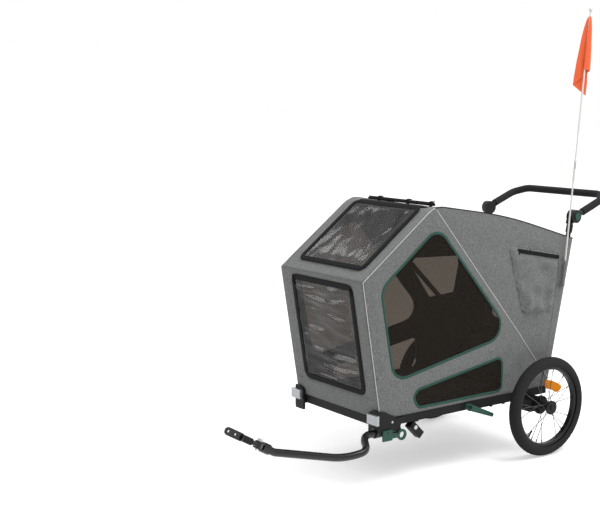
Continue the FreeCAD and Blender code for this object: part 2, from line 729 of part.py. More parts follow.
def hitch():
    wide, gap, thick = mm("clevis_width") / 2, mm("clevis_gap") / 2, mm("clevis_thickness")
    reach, sleeve = mm("yoke_reach"), mm("tow_radius") + mm("yoke_sleeve_wall")
    back = reach - 6
    yoke = rod(Vector(0, back, 0), Vector(0, reach + mm("yoke_sleeve_length"), 0), sleeve)
    yoke = yoke.cut(rod(Vector(0, reach, 0), Vector(0, 2 * reach + 50, 0), mm("tow_radius") + RUN))
    for low in (gap, -gap - thick):
        cheek = block(Vector(-wide, 0, low), Vector(wide, back + 1, low + thick))
        cheek = cheek.fuse(rod(Vector(0, 0, low), Vector(0, 0, low + thick), wide))
        cheek = cheek.cut(rod(Vector(0, 0, low - 1), Vector(0, 0, low + thick + 1), mm("pin_radius") + RUN))
        yoke = yoke.fuse(cheek)
    hitch_solid("tow_yoke", yoke.removeSplitter())
    top, knob = gap + thick, mm("pin_knob_radius")
    bar = rod(Vector(0, 0, -top - 6), Vector(0, 0, top + GAP), mm("pin_radius"))
    head = rod(Vector(0, 0, top + GAP), Vector(0, 0, top + GAP + mm("pin_knob_height")), knob)
    hitch_solid("hitch_pin", bar.fuse(head.makeFillet(2, head.Edges[:1])))
    tall = gap - GAP
    tongue = rod(Vector(0, 0, -tall), Vector(0, 0, tall), mm("tongue_radius"))
    start, length = mm("rubber_start"), mm("rubber_length")
    neck, stem_radius, strap_hole = 8, 5, 4
    tongue = tongue.fuse(block(Vector(-neck, -start, -tall), Vector(neck, 0, tall)))
    tongue = tongue.cut(rod(Vector(0, 0, -2 * tall), Vector(0, 0, 2 * tall), mm("pin_radius") + RUN))
    stem = rod(Vector(0, -start - length, 0), Vector(0, -start + 1, 0), stem_radius)
    eye, half, thin = mm("eye_reach"), mm("plate_height") / 2, mm("plate_thickness") / 2
    arm = block(Vector(-thin, -eye, -half), Vector(thin, -start - length, half))
    arm = arm.fuse(rod(Vector(-thin, -eye, 0), Vector(thin, -eye, 0), half))
    boss = mm("eye_boss_width") / 2
    arm = arm.fuse(rod(Vector(-boss, -eye, 0), Vector(boss, -eye, 0), mm("eye_boss_radius")))
    foot = rod(Vector(0, -start - length - 6, 0), Vector(0, -start - length, 0), mm("rubber_radius"))
    arm = arm.fuse(foot)
    arm = arm.cut(rod(Vector(-2 * boss, -eye, 0), Vector(2 * boss, -eye, 0), mm("eye_bore_radius")))
    hole_y = (start + length + eye) / 2
    arm = arm.cut(rod(Vector(-boss, -hole_y, 0), Vector(boss, -hole_y, 0), strap_hole))
    hitch_solid("hitch_plate", tongue.fuse(stem).fuse(arm).removeSplitter())
    rubber = rod(Vector(0, -start - length, 0), Vector(0, -start, 0), mm("rubber_radius"))
    rubber = rubber.cut(rod(Vector(0, -start - length, 0), Vector(0, -start, 0), stem_radius + RUN))
    hitch_solid("hitch_rubber", rubber)


# Sockets for the stroller wheel and the parking brake

def stroller_sockets():
    outer, wall, length = mm("socket_outer") / 2, mm("socket_wall"), mm("socket_length") / 2
    turn = Placement(Vector(), Rotation(Vector(1, 0, 0), mm("socket_tilt")))
    bore = outer - wall
    tube = block(Vector(-outer, -outer, -length), Vector(outer, outer, length))
    tube = tube.cut(block(Vector(-bore, -bore, -length - 1), Vector(bore, bore, length + 1)))
    drop = socket_pin_line()
    hole = rod(Vector(0, 0, drop), Vector(2 * outer, 0, drop), mm("socket_pin_radius") + RUN)
    tube = tube.cut(hole)
    tube.Placement = turn
    high = tube.BoundBox.ZMax
    pad_half = 0.8 * outer
    saddle = block(Vector(-outer + wall, -pad_half, high - wall), Vector(outer - wall, pad_half, high))
    cut = block(Vector(-bore, -bore, -length), Vector(bore, bore, length))
    cut.Placement = turn
    socket = tube.fuse(saddle.cut(cut)).removeSplitter()
    centre = Vector(OUTER_LANE, mm("socket_y"), RAIL_LOW - high)
    socket.translate(centre)
    solid("stroller_sockets", both_sides(socket))
    tip = bore - 3
    stick = rod(Vector(tip, 0, drop), Vector(outer + 10, 0, drop), mm("socket_pin_radius"))
    knob = rod(Vector(outer + GAP, 0, drop), Vector(outer + 10, 0, drop), 2 * mm("socket_pin_radius"))
    lock = stick.fuse(knob)
    lock.Placement = turn
    lock.translate(centre)
    solid("socket_pin_left", lock)
    solid("socket_pin_right", mirrored(lock))


def socket_pin_line():
    return mm("socket_length") / 2 - mm("socket_pin_drop") / 2


def brake_parts():
    pivot, tip = (mm("brake_pivot_y"), mm("brake_pivot_z")), (mm("brake_tip_y"), mm("brake_tip_z"))
    near, far = mm("brake_boss_radius"), mm("brake_tip_radius")
    base = RAIL_OUT + mm("brake_bracket_thickness")
    start, wide = base + GAP, mm("brake_lever_width")
    ahead = Vector(wide, 0, 0)
    angle = slope(pivot, tip)
    corners = []
    for centre, radius, sign in ((pivot, near, 1), (tip, far, 1), (tip, far, -1), (pivot, near, -1)):
        offset = turned((0, sign * radius), angle)
        corners.append(Vector(start, centre[0] + offset[0], centre[1] + offset[1]))
    lever = Part.Face(Part.makePolygon(corners + corners[:1])).extrude(ahead)
    lever = lever.fuse(rod(point(pivot, start), point(pivot, start + wide), near))
    lever = lever.fuse(rod(point(tip, start), point(tip, start + wide), far))
    lever = lever.cut(rod(point(pivot, base), point(pivot, start + wide + 1), mm("brake_pin_radius") + RUN))
    solid("brake_lever", lever.removeSplitter())
    half = 2 * near
    foot = block(Vector(RAIL_OUT, pivot[0] - half, RAIL_LOW + 1),
                 Vector(base, pivot[0] + half, mm("rail_top") - 4))
    foot = foot.fuse(rod(point(pivot, RAIL_OUT), point(pivot, start + wide + GAP), mm("brake_pin_radius")))
    head = rod(point(pivot, start + wide + GAP), point(pivot, start + wide + 4), 2 * mm("brake_pin_radius"))
    foot = foot.fuse(head)
    cable_x, cable_z = (RAIL_IN + RAIL_OUT) / 2, RAIL_LOW - 2.4 * mm("cable_radius")
    stop_y, end_y = pivot[0] + half, -mm("housing_front")
    cable = rod(Vector(cable_x, stop_y, cable_z), Vector(cable_x, end_y, cable_z), mm("cable_radius"))
    clips = []
    grip = 2 * mm("cable_radius")
    for y in (stop_y - grip, stop_y + 0.4 * (end_y - stop_y), stop_y + 0.65 * (end_y - stop_y)):
        low, high = Vector(cable_x - grip, y, cable_z - grip), Vector(cable_x + grip, y + 2 * grip, RAIL_LOW)
        ends = (Vector(cable_x, y - 1, cable_z), Vector(cable_x, y + 3 * grip, cable_z))
        clips.append(block(low, high).cut(rod(*ends, mm("cable_radius") + RUN)))
    solid("brake_bracket", Part.makeCompound([foot] + clips))
    solid("brake_cable", cable)


# Folding hoops and their hinges

def hinge_plate(pivot, feet):
    """An upright plate beside the hoop legs, with an eye for the bolt."""
    thick, eye = mm("hinge_plate_thickness"), mm("hoop_radius")
    x = OUTER_LANE - mm("hoop_radius") - 1.3 * GAP - thick
    y, z = pivot
    corners = [(feet[0], FLOOR_TOP), (feet[1], FLOOR_TOP), (y + eye, z), (y - eye, z)]
    face = Part.Face(Part.makePolygon([point(c, x) for c in corners + corners[:1]]))
    shape = face.extrude(Vector(thick, 0, 0)).fuse(rod(point(pivot, x), point(pivot, x + thick), eye))
    return shape.cut(rod(point(pivot, x - 1), point(pivot, x + thick + 1), mm("hinge_bolt_radius") + RUN))


def hinge_bolt(pivot, lane):
    radius = mm("hinge_bolt_radius")
    start, end = lane - mm("hoop_radius") - GAP, OUTER_LANE + mm("hoop_radius")
    bolt = rod(point(pivot, start), point(pivot, end), radius)
    return bolt.fuse(rod(point(pivot, start - radius), point(pivot, start), 1.8 * radius))


def frame_hinges():
    base = mm("fabric_thickness") + 2
    front_feet = (mm("front_foot_y") + base, mm("front_foot_y") + 6 * mm("hoop_radius"))
    rear_feet = (mm("rear_foot_y") - 7 * mm("hoop_radius"), mm("rear_foot_y") - 2 * base)
    pieces = [hinge_plate(FRONT_PIVOT, front_feet), hinge_plate(REAR_PIVOT, rear_feet)]
    plate_lane = OUTER_LANE - mm("hinge_plate_thickness") - 2 * GAP
    pieces += [hinge_bolt(FRONT_PIVOT, plate_lane), hinge_bolt(REAR_PIVOT, INNER_LANE)]
    solid("frame_hinges", Part.makeCompound(pieces + [mirrored(p) for p in pieces]))


def hinge_eyes(pivot, lane):
    """The solid ends of a frame's two legs, round about their pivot."""
    radius = mm("hinge_eye_radius")
    eye = rod(point(pivot, lane - radius), point(pivot, lane + radius), radius)
    return [eye, mirrored(eye)]


def hoop(label, pivot, corner, lane):
    """A bent tube from a pivot on one side, across the cabin, to the pivot on the other."""
    route = [point(pivot, lane), point(corner, lane), point(corner, -lane), point(pivot, -lane)]
    tube = bent_tube(route, mm("hoop_bend_radius"), mm("hoop_radius"), mm("hoop_wall"))
    tube = tube.fuse(hinge_eyes(pivot, lane))
    solid(label, tube.cut(rod(point(pivot, -HALF), point(pivot, HALF), mm("hinge_bolt_radius") + RUN)))


def rear_hoop():
    def frame(radius):
        leg = rod(point(REAR_PIVOT, OUTER_LANE), point(POST_TOP, OUTER_LANE), radius)
        bar = rod(point(REAR_CROSS, -OUTER_LANE), point(REAR_CROSS, OUTER_LANE), mm("cross_share") * radius)
        return leg.fuse([mirrored(leg), bar])

    tube = frame(mm("hoop_radius")).cut(frame(mm("hoop_radius") - mm("hoop_wall")))
    tube = tube.fuse(hinge_eyes(REAR_PIVOT, OUTER_LANE))
    bolt = rod(point(REAR_PIVOT, -HALF), point(REAR_PIVOT, HALF), mm("hinge_bolt_radius") + RUN)
    solid("rear_hoop", tube.cut(bolt))


# Push handle

def handle_knuckles():
    """Castings on the post tops: a socket, a link and the fixed half of the pivot."""
    low = along(POST_TOP, REAR_PIVOT, mm("knuckle_socket_height"))
    outer = mm("hoop_radius") + mm("knuckle_socket_wall")
    cap = along(POST_TOP, REAR_PIVOT, -mm("knuckle_socket_wall"))
    inner = OUTER_LANE - mm("knuckle_width") - 1
    socket = rod(point(low, OUTER_LANE), point(cap, OUTER_LANE), outer)
    disc = rod(point(HANDLE_PIVOT, inner), point(HANDLE_PIVOT, OUTER_LANE), mm("handle_hub_radius"))
    side = turned((outer, 0), slope(REAR_PIVOT, POST_TOP) - 90)
    link = [
        (cap[0] - side[0], cap[1] - side[1]), (cap[0] + side[0], cap[1] + side[1]),
        (HANDLE_PIVOT[0] + mm("handle_hub_radius") * 0.7, HANDLE_PIVOT[1] - mm("handle_hub_radius") * 0.7),
        (HANDLE_PIVOT[0] - mm("handle_hub_radius") * 0.7, HANDLE_PIVOT[1] + mm("handle_hub_radius") * 0.7),
    ]
    face = Part.Face(Part.makePolygon([point(p, inner) for p in link + link[:1]]))
    arm = face.extrude(Vector(OUTER_LANE - inner, 0, 0))
    spigot_end = HANDLE_X - 3
    spigot = rod(point(HANDLE_PIVOT, inner), point(HANDLE_PIVOT, spigot_end), 0.3 * mm("handle_hub_radius"))
    post = rod(point(low, OUTER_LANE), point(POST_TOP, OUTER_LANE), mm("hoop_radius") + RUN / 2)
    casting = socket.fuse([disc, arm, spigot]).cut(post).removeSplitter()
    solid("handle_knuckles", both_sides(casting))


def handle():
    tilt = math.radians(mm("handle_tilt"))

    def reach(distance, x):
        return point(HANDLE_PIVOT, x) + Vector(0, math.cos(tilt), math.sin(tilt)) * distance

    near, far = mm("handle_hub_radius") - 4, mm("handle_reach")
    route = [reach(near, HANDLE_X), reach(mm("handle_straight"), HANDLE_X), reach(far, mm("handle_bar_half"))]
    route += [Vector(-p.x, p.y, p.z) for p in reversed(route)]
    tube = bent_tube(route, mm("handle_bend_radius"), mm("handle_tube_radius"), mm("hoop_wall"))
    half = mm("handle_hub_width") / 2
    low, high = HANDLE_X - half + GAP, HANDLE_X + half
    disc = rod(point(HANDLE_PIVOT, low), point(HANDLE_PIVOT, high), mm("handle_hub_radius"))
    disc = disc.makeFillet(2, disc.Edges[:1])
    spigot = rod(point(HANDLE_PIVOT, 0), point(HANDLE_PIVOT, HANDLE_X), 0.3 * mm("handle_hub_radius") + RUN)
    proud = 5
    floor = high + proud - mm("handle_button_height") - mm("handle_button_travel")
    well = rod(point(HANDLE_PIVOT, floor), point(HANDLE_PIVOT, high + 1), mm("handle_button_radius") + GAP)
    hub_shape = disc.cut(spigot.fuse(well))
    solid("handle_tube", tube.fuse([hub_shape, mirrored(hub_shape)]).removeSplitter())
    for side, sign in (("left", 1), ("right", -1)):
        button = pin(f"handle_button_{side}", "sizes.handle_button_radius", "sizes.handle_button_height",
                     point(HANDLE_PIVOT, sign * (high + proud)), Vector(-sign, 0, 0))
        finish(button, f"handle_button_{side}", button.Placement)
    ends = (reach(far, -mm("grip_half_length")), reach(far, mm("grip_half_length")))
    foam = rod(*ends, mm("grip_radius"))
    foam = foam.makeFillet(3, foam.Edges[:1] + foam.Edges[2:])
    solid("handle_grip", foam.cut(rod(*ends, mm("handle_tube_radius") + RUN)))


# Fabric cabin

def from_corner(corner, offsets):
    return [(corner[0] + y, corner[1] + z) for y, z in offsets]


def main_window():
    return (from_corner(RIDGE, [(16, -78)]) + from_corner(FRONT_TOP, [(84, -32)])
            + from_corner(FRONT_FOOT, [(64, 130)]) + from_corner(REAR_FOOT, [(-216, 241)]))


def low_window():
    return (from_corner(FRONT_FOOT, [(181, 85), (157, 58), (185, 16)])
            + from_corner(REAR_FOOT, [(-259, 16), (-259, 153)]))


def rear_window():
    return from_corner(REAR_FOOT, [(-307, 464), (-193, 308), (-47, 316), (-19, 442), (-25, 484), (-275, 494)])


WINDOWS = {"left": [(main_window, 64), (low_window, 18)]}
WINDOWS["right"] = WINDOWS["left"] + [(rear_window, 14)]


def side_walls():
    foot = mm("rail_top") + GAP
    shape = [(FRONT_FOOT[0], foot), FRONT_TOP, RIDGE, SWELL, REAR_TOP, (REAR_FOOT[0], foot)]
    for side, x in (("left", INNER), ("right", -HALF)):
        loops = [outline(shape)] + [outline(corners(), radius) for corners, radius in WINDOWS[side]]
        wall = plate(f"side_wall_{side}", "YZ_Plane", loops, "sizes.fabric_thickness")
        finish(wall, f"side_wall_{side}", Placement(Vector(x, 0, 0), Rotation()))


def window_meshes():
    """Flat netting in each window, a hair smaller than its opening."""
    nets, thin = [], 0.4 * mm("fabric_thickness")
    for side, x in (("left", INNER + thin), ("right", -INNER - 2 * thin)):
        for corners, radius in WINDOWS[side]:
            edges = Part.__sortEdges__([e.toShape() for e in outline(corners(), radius)])
            face = Part.Face(Part.Wire(edges).makeOffset2D(-GAP))
            net = face.extrude(Vector(0, 0, thin))
            net.Placement = Placement(Vector(x, 0, 0), Rotation(Vector(1, 1, 1), 120))
            nets.append(net)
    solid("window_meshes", Part.makeCompound(nets))


def panel(label, ends, loops):
    """A flat panel across the cabin: X across, Y from the first end to the second, outward up."""
    body = plate(label, "XY_Plane", loops, "sizes.fabric_thickness", back=True)
    body.Placement = Placement(point(ends[0]), Rotation(Vector(1, 0, 0), slope(*ends)))
    return body


def cabin_panel(label, ends, loops):
    body = panel(label, ends, loops)
    finish(body, label, body.Placement)


def fabric_panels():
    wide = INNER - GAP
    trim = mm("fabric_thickness") + 1
    margin = mm("front_opening_margin")
    opening = mm("front_cover_half_width") - margin
    skirt = mm("skirt_height")
    hole = rectangle(-opening, mm("front_cover_low") + margin, opening, mm("front_cover_high") - margin)
    loops = [outline(rectangle(-wide, skirt, wide, FRONT_LENGTH - trim)), outline(hole, margin)]
    cabin_panel("front_panel", FRONT, loops)
    opening = mm("roof_cover_half_width") - margin
    top = ROOF_LENGTH - mm("roof_cover_top_margin") - margin
    hole = rectangle(-opening, mm("roof_cover_low") + margin, opening, top)
    loops = [outline(rectangle(-wide, 1, wide, ROOF_LENGTH - trim / 2)), outline(hole, margin)]
    cabin_panel("roof_front_panel", ROOF, loops)
    opening = mm("rear_door_half_width") - margin
    low = REAR_LENGTH - mm("rear_hinge_rise")
    high = mm("rear_door_top_margin") + margin
    hole = rectangle(-opening, high, opening, low - mm("rear_door_low") - margin)
    loops = [outline(rectangle(-wide, trim, wide, low)), outline(hole, margin)]
    cabin_panel("rear_panel", REAR, loops)
    skirts = []
    front_skirt = rectangle(-wide, GAP, wide, skirt - GAP)
    rear_skirt = rectangle(-wide, low + GAP, wide, REAR_LENGTH - GAP)
    for name, ends, shape in (("front_skirt", FRONT, front_skirt), ("rear_skirt", REAR, rear_skirt)):
        skirts.append(panel(name, ends, [outline(shape)]))
    group("fabric_skirts", skirts)


def rear_roof():
    depth, trim = mm("fabric_thickness"), mm("fabric_thickness") + 1
    rear = (SWELL, REAR_TOP)
    reach = math.dist(*rear) - trim
    shape = [
        along(RIDGE, SWELL, trim / 2), SWELL, along(SWELL, REAR_TOP, reach),
        inside(*rear, reach, depth), meet(BACK_ROOF, rear, depth), inside(*BACK_ROOF, trim / 2, depth),
    ]
    wide = "sizes.cabin_width - 2 * sizes.fabric_thickness - 2 * sizes.seat_gap"
    strip = plate("rear_roof_strip", "YZ_Plane", [outline(shape)], wide, middle=True)
    foot = along(REAR_PIVOT, POST_TOP, math.dist(REAR_PIVOT, REAR_CROSS) / 2)
    hole = rod(point(foot, OUTER_LANE), point(POST_TOP, OUTER_LANE), mm("hoop_radius") + GAP)
    posts = doc.addObject("Part::Feature", "post_holes")
    posts.Shape = both_sides(hole)
    cut = doc.addObject("Part::Cut", "roof_rear_panel")
    cut.Base = strip
    cut.Tool = posts
    finish(cut, "roof_rear_panel")


def cover(label, ends, half, low, high, hinge):
    """A loose sheet over a panel, with a rod in the hem that it turns on."""
    thick, rod_radius = mm("cover_thickness"), mm("hem_rod_radius")
    corner = 0.15 * half
    edges = Part.__sortEdges__([e.toShape() for e in outline(rectangle(-half, low, half, high), corner)])
    loose = Part.Face(Part.Wire(edges)).extrude(Vector(0, 0, thick))
    start, end = sorted((hinge, (low + high) / 2))
    square = block(Vector(-half, start, 0), Vector(half, end, thick))
    hem = rod(Vector(-half, hinge, HEM_RISE), Vector(half, hinge, HEM_RISE), rod_radius)
    shape = loose.fuse([square, hem]).removeSplitter()
    angle = math.radians(slope(*ends))
    lift = Vector(0, -GAP * math.sin(angle), GAP * math.cos(angle))
    shape.Placement = Placement(point(ends[0]) + lift, Rotation(Vector(1, 0, 0), slope(*ends)))
    solid(label, shape)


def covers():
    low, high = mm("front_cover_low"), mm("front_cover_high")
    cover("front_cover", FRONT, mm("front_cover_half_width"), low, high, high)
    high = ROOF_LENGTH - mm("roof_cover_top_margin")
    cover("roof_cover", ROOF, mm("roof_cover_half_width"), mm("roof_cover_low"), high, high)
    low = mm("rear_door_top_margin")
    high = REAR_LENGTH - mm("rear_hinge_rise") - mm("rear_door_low")
    cover("rear_door", REAR, mm("rear_door_half_width"), low, high, low)


# Pocket, zip, flag

POCKET = from_corner(REAR_TOP, [(-332, -12), (-87, -59), (-116, -287), (-264, -281)])


def side_pocket():
    """A pouch on the left wall and the sleeve that holds the flagpole."""
    pouch = Part.Face(Part.Wire(Part.__sortEdges__([e.toShape() for e in outline(POCKET, 18)])))
    pouch = pouch.extrude(Vector(0, 0, mm("pocket_depth")))
    rim_edges = [e for e in pouch.Edges if e.BoundBox.ZMin > mm("pocket_depth") / 2]
    pouch = pouch.makeFillet(mm("pocket_depth") / 2, rim_edges)
    pouch.Placement = Placement(Vector(HALF + GAP, 0, 0), Rotation(Vector(1, 1, 1), 120))
    floor, top, radius = -4, mm("sleeve_length"), mm("sleeve_radius")
    sleeve = rod(Vector(0, 0, floor), Vector(0, 0, top), radius)
    web = block(Vector(HALF + GAP - POLE_X, -radius / 2, floor), Vector(0, radius / 2, top))
    sleeve = sleeve.fuse(web).cut(rod(Vector(), Vector(0, 0, top + 1), mm("pole_radius") + RUN))
    sleeve.Placement = POLE_PLACE
    solid("wall_pockets", Part.makeCompound([pouch, sleeve]))


def zip_slider():
    """The slider at the front end of the zip, with its pull hanging down."""
    x = HALF + 2 * GAP + mm("pocket_depth")
    long, pull, wide = mm("zip_slider_length"), mm("zip_pull_length"), mm("zip_pull_width")
    thick = 2
    start = along(POCKET[0], POCKET[1], mm("zip_slider_length"))
    slider = Part.makeBox(thick, long, 9, Vector(x, -long / 2, -13))
    slider.rotate(Vector(), Vector(1, 0, 0), slope(POCKET[0], POCKET[1]))
    hang = Part.makeBox(thick / 2, wide, pull, Vector(x, -wide / 2, -9 - pull))
    shape = slider.fuse(hang)
    shape.translate(point(start))
    solid("zip_slider", shape.removeSplitter())


POLE_PLACE = Placement(
    Vector(POLE_X, mm("pole_foot_y"), mm("pole_foot_z")), Rotation(Vector(1, 0, 0), -mm("pole_lean")))


def flag():
    radius, top = mm("pole_radius"), mm("pole_length") - mm("pole_cap_height")
    pole = rod(Vector(), Vector(0, 0, top), radius)
    cap = rod(Vector(0, 0, top), Vector(0, 0, mm("pole_length")), mm("pole_cap_radius"))
    low = mm("ferrule_rise")
    ends = (Vector(0, 0, low), Vector(0, 0, low + mm("ferrule_height")))
    ferrule = rod(*ends, mm("ferrule_radius")).cut(rod(*ends, radius + RUN / 2))
    parts = Part.makeCompound([pole, cap.makeFillet(2, cap.Edges[:1]), ferrule])
    parts.Placement = POLE_PLACE
    solid("flag_pole", parts)
    length, wide, thick = mm("flag_length"), mm("flag_width"), mm("flag_thickness") / 2
    start = top - mm("flag_drop")
    folds, sway = 4, 6
    ahead = Vector(-0.585, -0.811, 0)
    across = Vector(-ahead.y, ahead.x, 0)
    sections = []
    for drop, share in ((0, 0.2), (0.3, 0.6), (0.85, 1.0), (1.0, 0.7)):
        edge = []
        for k in range(folds + 1):
            out = radius + GAP + wide * share * k / folds
            lateral = sway * share * (0, 1, -1, 1, -0.4)[k]
            edge.append(ahead * out + across * lateral)
        ring = [p + across * thick for p in edge] + [p - across * thick for p in reversed(edge)]
        lift = Vector(0, 0, start - length * drop)
        sections.append(Part.makePolygon([p + lift for p in ring + ring[:1]]))
    cloth = Part.makeLoft(sections, True, True)
    cloth.Placement = POLE_PLACE
    solid("flag_cloth", cloth)


wheels()
floor_frame()
floor_mat()
axle_parts()
corner_pieces()
front_reflectors()
tow_receiver()
tow_lever()
tow_arm()
hitch()
stroller_sockets()
brake_parts()
frame_hinges()
hoop("front_hoop", FRONT_PIVOT, FRONT_CORNER, OUTER_LANE)
hoop("ridge_hoop", REAR_PIVOT, RIDGE_CORNER, INNER_LANE)
rear_hoop()
handle_knuckles()
handle()
side_walls()
window_meshes()
fabric_panels()
rear_roof()
covers()
side_pocket()
zip_slider()
flag()

# Check every object, then write each sub-part to its own file
doc.recompute()
for thing in doc.Objects:
    if "Invalid" in thing.State or "Error" in thing.State:
        raise RuntimeError(f"{thing.Label} failed: {thing.State}")
for piece in PIECES:
    if piece.Shape.isNull() or not piece.Shape.isValid():
        raise RuntimeError(f"{piece.Label} has no valid shape")
os.makedirs("parts", exist_ok=True)
for piece in PIECES:
    piece.Shape.exportStep(f"parts/{piece.Label}.step")
print(len(PIECES), "sub-parts written")
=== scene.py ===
import bpy
import numpy as np
from math import acos, cos, dist, exp, pi, radians, sin, sqrt, tan, tau
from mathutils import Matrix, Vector, geometry, kdtree, noise


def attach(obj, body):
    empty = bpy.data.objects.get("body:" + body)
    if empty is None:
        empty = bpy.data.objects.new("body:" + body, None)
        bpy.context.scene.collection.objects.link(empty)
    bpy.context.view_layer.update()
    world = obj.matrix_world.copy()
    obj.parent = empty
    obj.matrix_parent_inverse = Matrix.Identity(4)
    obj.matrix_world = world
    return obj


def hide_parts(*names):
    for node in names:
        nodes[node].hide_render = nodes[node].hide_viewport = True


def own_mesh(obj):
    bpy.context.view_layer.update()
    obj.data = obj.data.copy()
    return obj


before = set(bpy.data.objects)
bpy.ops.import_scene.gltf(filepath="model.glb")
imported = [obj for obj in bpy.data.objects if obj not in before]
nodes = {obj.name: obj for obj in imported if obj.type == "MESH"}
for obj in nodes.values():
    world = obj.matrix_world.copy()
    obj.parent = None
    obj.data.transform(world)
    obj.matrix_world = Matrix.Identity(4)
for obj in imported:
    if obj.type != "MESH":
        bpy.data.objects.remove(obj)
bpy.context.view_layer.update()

# Sizes, in millimetres from the ground and from the wheel axle (behind is positive)
AXLE_BACK = 518.913
# the cabin's corners in side view
FRONT_FOOT, FRONT_TOP, RIDGE = (-794, 258), (-880, 771), (-541, 1026)
SWELL, REAR_TOP, REAR_FOOT = (-168, 967), (213, 853), (85, 258)
# half widths over the walls and of the panels between them, and the thickness of the cloth
WALL_X, PANEL_X, CLOTH = 252.5, 249, 2.0
# heights of the strips of cloth below the front and the back
SKIRT, REAR_HINGE = 72, 142
WHEEL_X, WHEEL_R = 331, 200
SIDES = (("left", 1), ("right", -1))


def at(x, y, z):
    """A point in millimetres from the ground and the axle, as metres in the shared frame."""
    return Vector((x, y + AXLE_BACK, z)) / 1000


def placed(name, data):
    """A new object for a mesh, a lamp or the camera, in the scene."""
    made = bpy.data.objects.new(name, data)
    bpy.context.scene.collection.objects.link(made)
    return made


# Camera at the photograph's angle

def camera():
    azimuth, rise = radians(54.2), radians(8.3)
    back = Vector((sin(azimuth) * cos(rise), -cos(azimuth) * cos(rise), sin(rise)))
    data = bpy.data.cameras.new("camera")
    data.lens = 70.2
    eye = placed("camera", data)
    eye.location = at(3436.5, -3450.8, 1433.3)
    eye.rotation_euler = (-back).to_track_quat("-Z", "Y").to_euler()
    bpy.context.scene.camera = eye


camera()


# Materials

def linear(hex_colour):
    """An sRGB hex colour as the linear colour that shaders use."""
    channels = [int(hex_colour[i:i + 2], 16) / 255 for i in (1, 3, 5)]
    return [c / 12.92 if c <= 0.04045 else ((c + 0.055) / 1.055) ** 2.4 for c in channels] + [1]


def node(tree, kind, inputs=None, **settings):
    """Adds a node. An input is a value, or another node's output to link to it."""
    made = tree.nodes.new(kind)
    for name, value in settings.items():
        setattr(made, name, value)
    for name, value in (inputs or {}).items():
        if isinstance(value, bpy.types.NodeSocket):
            tree.links.new(value, made.inputs[name])
        else:
            made.inputs[name].default_value = value
    return made


def finish_of(name, colour, roughness, **sockets):
    """A material with one shader, its constants set on the shader's sockets."""
    made = bpy.data.materials.new(name)
    made.use_nodes = True
    shader = made.node_tree.nodes["Principled BSDF"]
    shader.inputs["Base Color"].default_value = linear(colour)
    shader.inputs["Roughness"].default_value = roughness
    for socket, value in sockets.items():
        shader.inputs[socket.replace("_", " ")].default_value = value
    return made, made.node_tree, shader


def per_metre(millimetres):
    return 1000 / millimetres


def emboss(tree, shader, height, strength, depth):
    """Raises a pattern on a surface, by this many millimetres."""
    relief = {"Height": height, "Strength": strength, "Distance": depth / 1000}
    bump = node(tree, "ShaderNodeBump", relief)
    tree.links.new(bump.outputs[0], shader.inputs["Normal"])


def melange(name, dark, light):
    """Woven polyester in a heather of two greys: fine flecks, a plain weave and no gloss."""
    matt = {"Specular_IOR_Level": 0.15, "Sheen_Weight": 0.1, "Sheen_Roughness": 0.5}
    made, tree, shader = finish_of(name, light, 0.92, **matt)
    place = node(tree, "ShaderNodeTexCoord").outputs["Object"]
    # flecks are about 2 mm long, and drawn at 6 mm to show
    fleck = node(tree, "ShaderNodeTexNoise", {"Vector": place, "Scale": per_metre(6), "Detail": 4.0})
    ramp = node(tree, "ShaderNodeMapRange", {"Value": fleck.outputs[0], "From Min": 0.25, "From Max": 0.75})
    shades = {"Factor": ramp.outputs[0], 6: linear(dark), 7: linear(light)}
    mixed = node(tree, "ShaderNodeMix", shades, data_type="RGBA")
    tree.links.new(mixed.outputs[2], shader.inputs["Base Color"])
    # threads are about 0.5 mm apart, and drawn at 2.5 mm to show
    weave = node(tree, "ShaderNodeTexNoise", {"Vector": place, "Scale": per_metre(2.5), "Detail": 2.0})
    emboss(tree, shader, weave.outputs[0], strength=0.25, depth=0.6)
    return made


def grained(name, colour, roughness, grain, depth, **sockets):
    """One colour with an even grain, sized in millimetres, and a gloss that varies a little."""
    made, tree, shader = finish_of(name, colour, roughness, **sockets)
    place = node(tree, "ShaderNodeTexCoord").outputs["Object"]
    grit = node(tree, "ShaderNodeTexNoise", {"Vector": place, "Scale": per_metre(grain), "Detail": 3.0})
    emboss(tree, shader, grit.outputs[0], 0.4, depth)
    # handling leaves patches about 60 mm across a little smoother or rougher
    patch, change = 60, 0.08
    wear = node(tree, "ShaderNodeTexNoise", {"Vector": place, "Scale": per_metre(patch), "Detail": 4.0})
    least, most = max(roughness - change, 0.03), min(roughness + change, 1)
    rough = node(tree, "ShaderNodeMapRange", {"Value": wear.outputs[0], "To Min": least, "To Max": most})
    tree.links.new(rough.outputs[0], shader.inputs["Roughness"])
    return made


def ribbed(name, colour, roughness, pitch, **sockets):
    """Woven goods with ribs this many millimetres apart: tape, net and flag cloth."""
    made, tree, shader = finish_of(name, colour, roughness, **sockets)
    place = node(tree, "ShaderNodeTexCoord").outputs["Object"]
    # at scale 1 the node draws about three diagonal bands in a metre
    scale = per_metre(pitch) / pi
    ribs = node(tree, "ShaderNodeTexWave", {"Vector": place, "Scale": scale}, bands_direction="DIAGONAL")
    emboss(tree, shader, ribs.outputs[1], strength=0.35, depth=0.5)
    return made


def prismatic(name, colour, cell, **sockets):
    """Moulded acrylic with corner prisms behind it: bright cells under a glossy face."""
    made, tree, shader = finish_of(name, colour, 0.12, **sockets)
    place = node(tree, "ShaderNodeTexCoord").outputs["Object"]
    even = {"Vector": place, "Scale": per_metre(cell), "Randomness": 0.0}
    cells = node(tree, "ShaderNodeTexVoronoi", even)
    emboss(tree, shader, cells.outputs[0], strength=0.6, depth=1)
    return made


# Woven polyester of the cabin: a matt mid grey with dark and light flecks
GREY = melange("melange polyester", "#5d5f5e", "#838584")
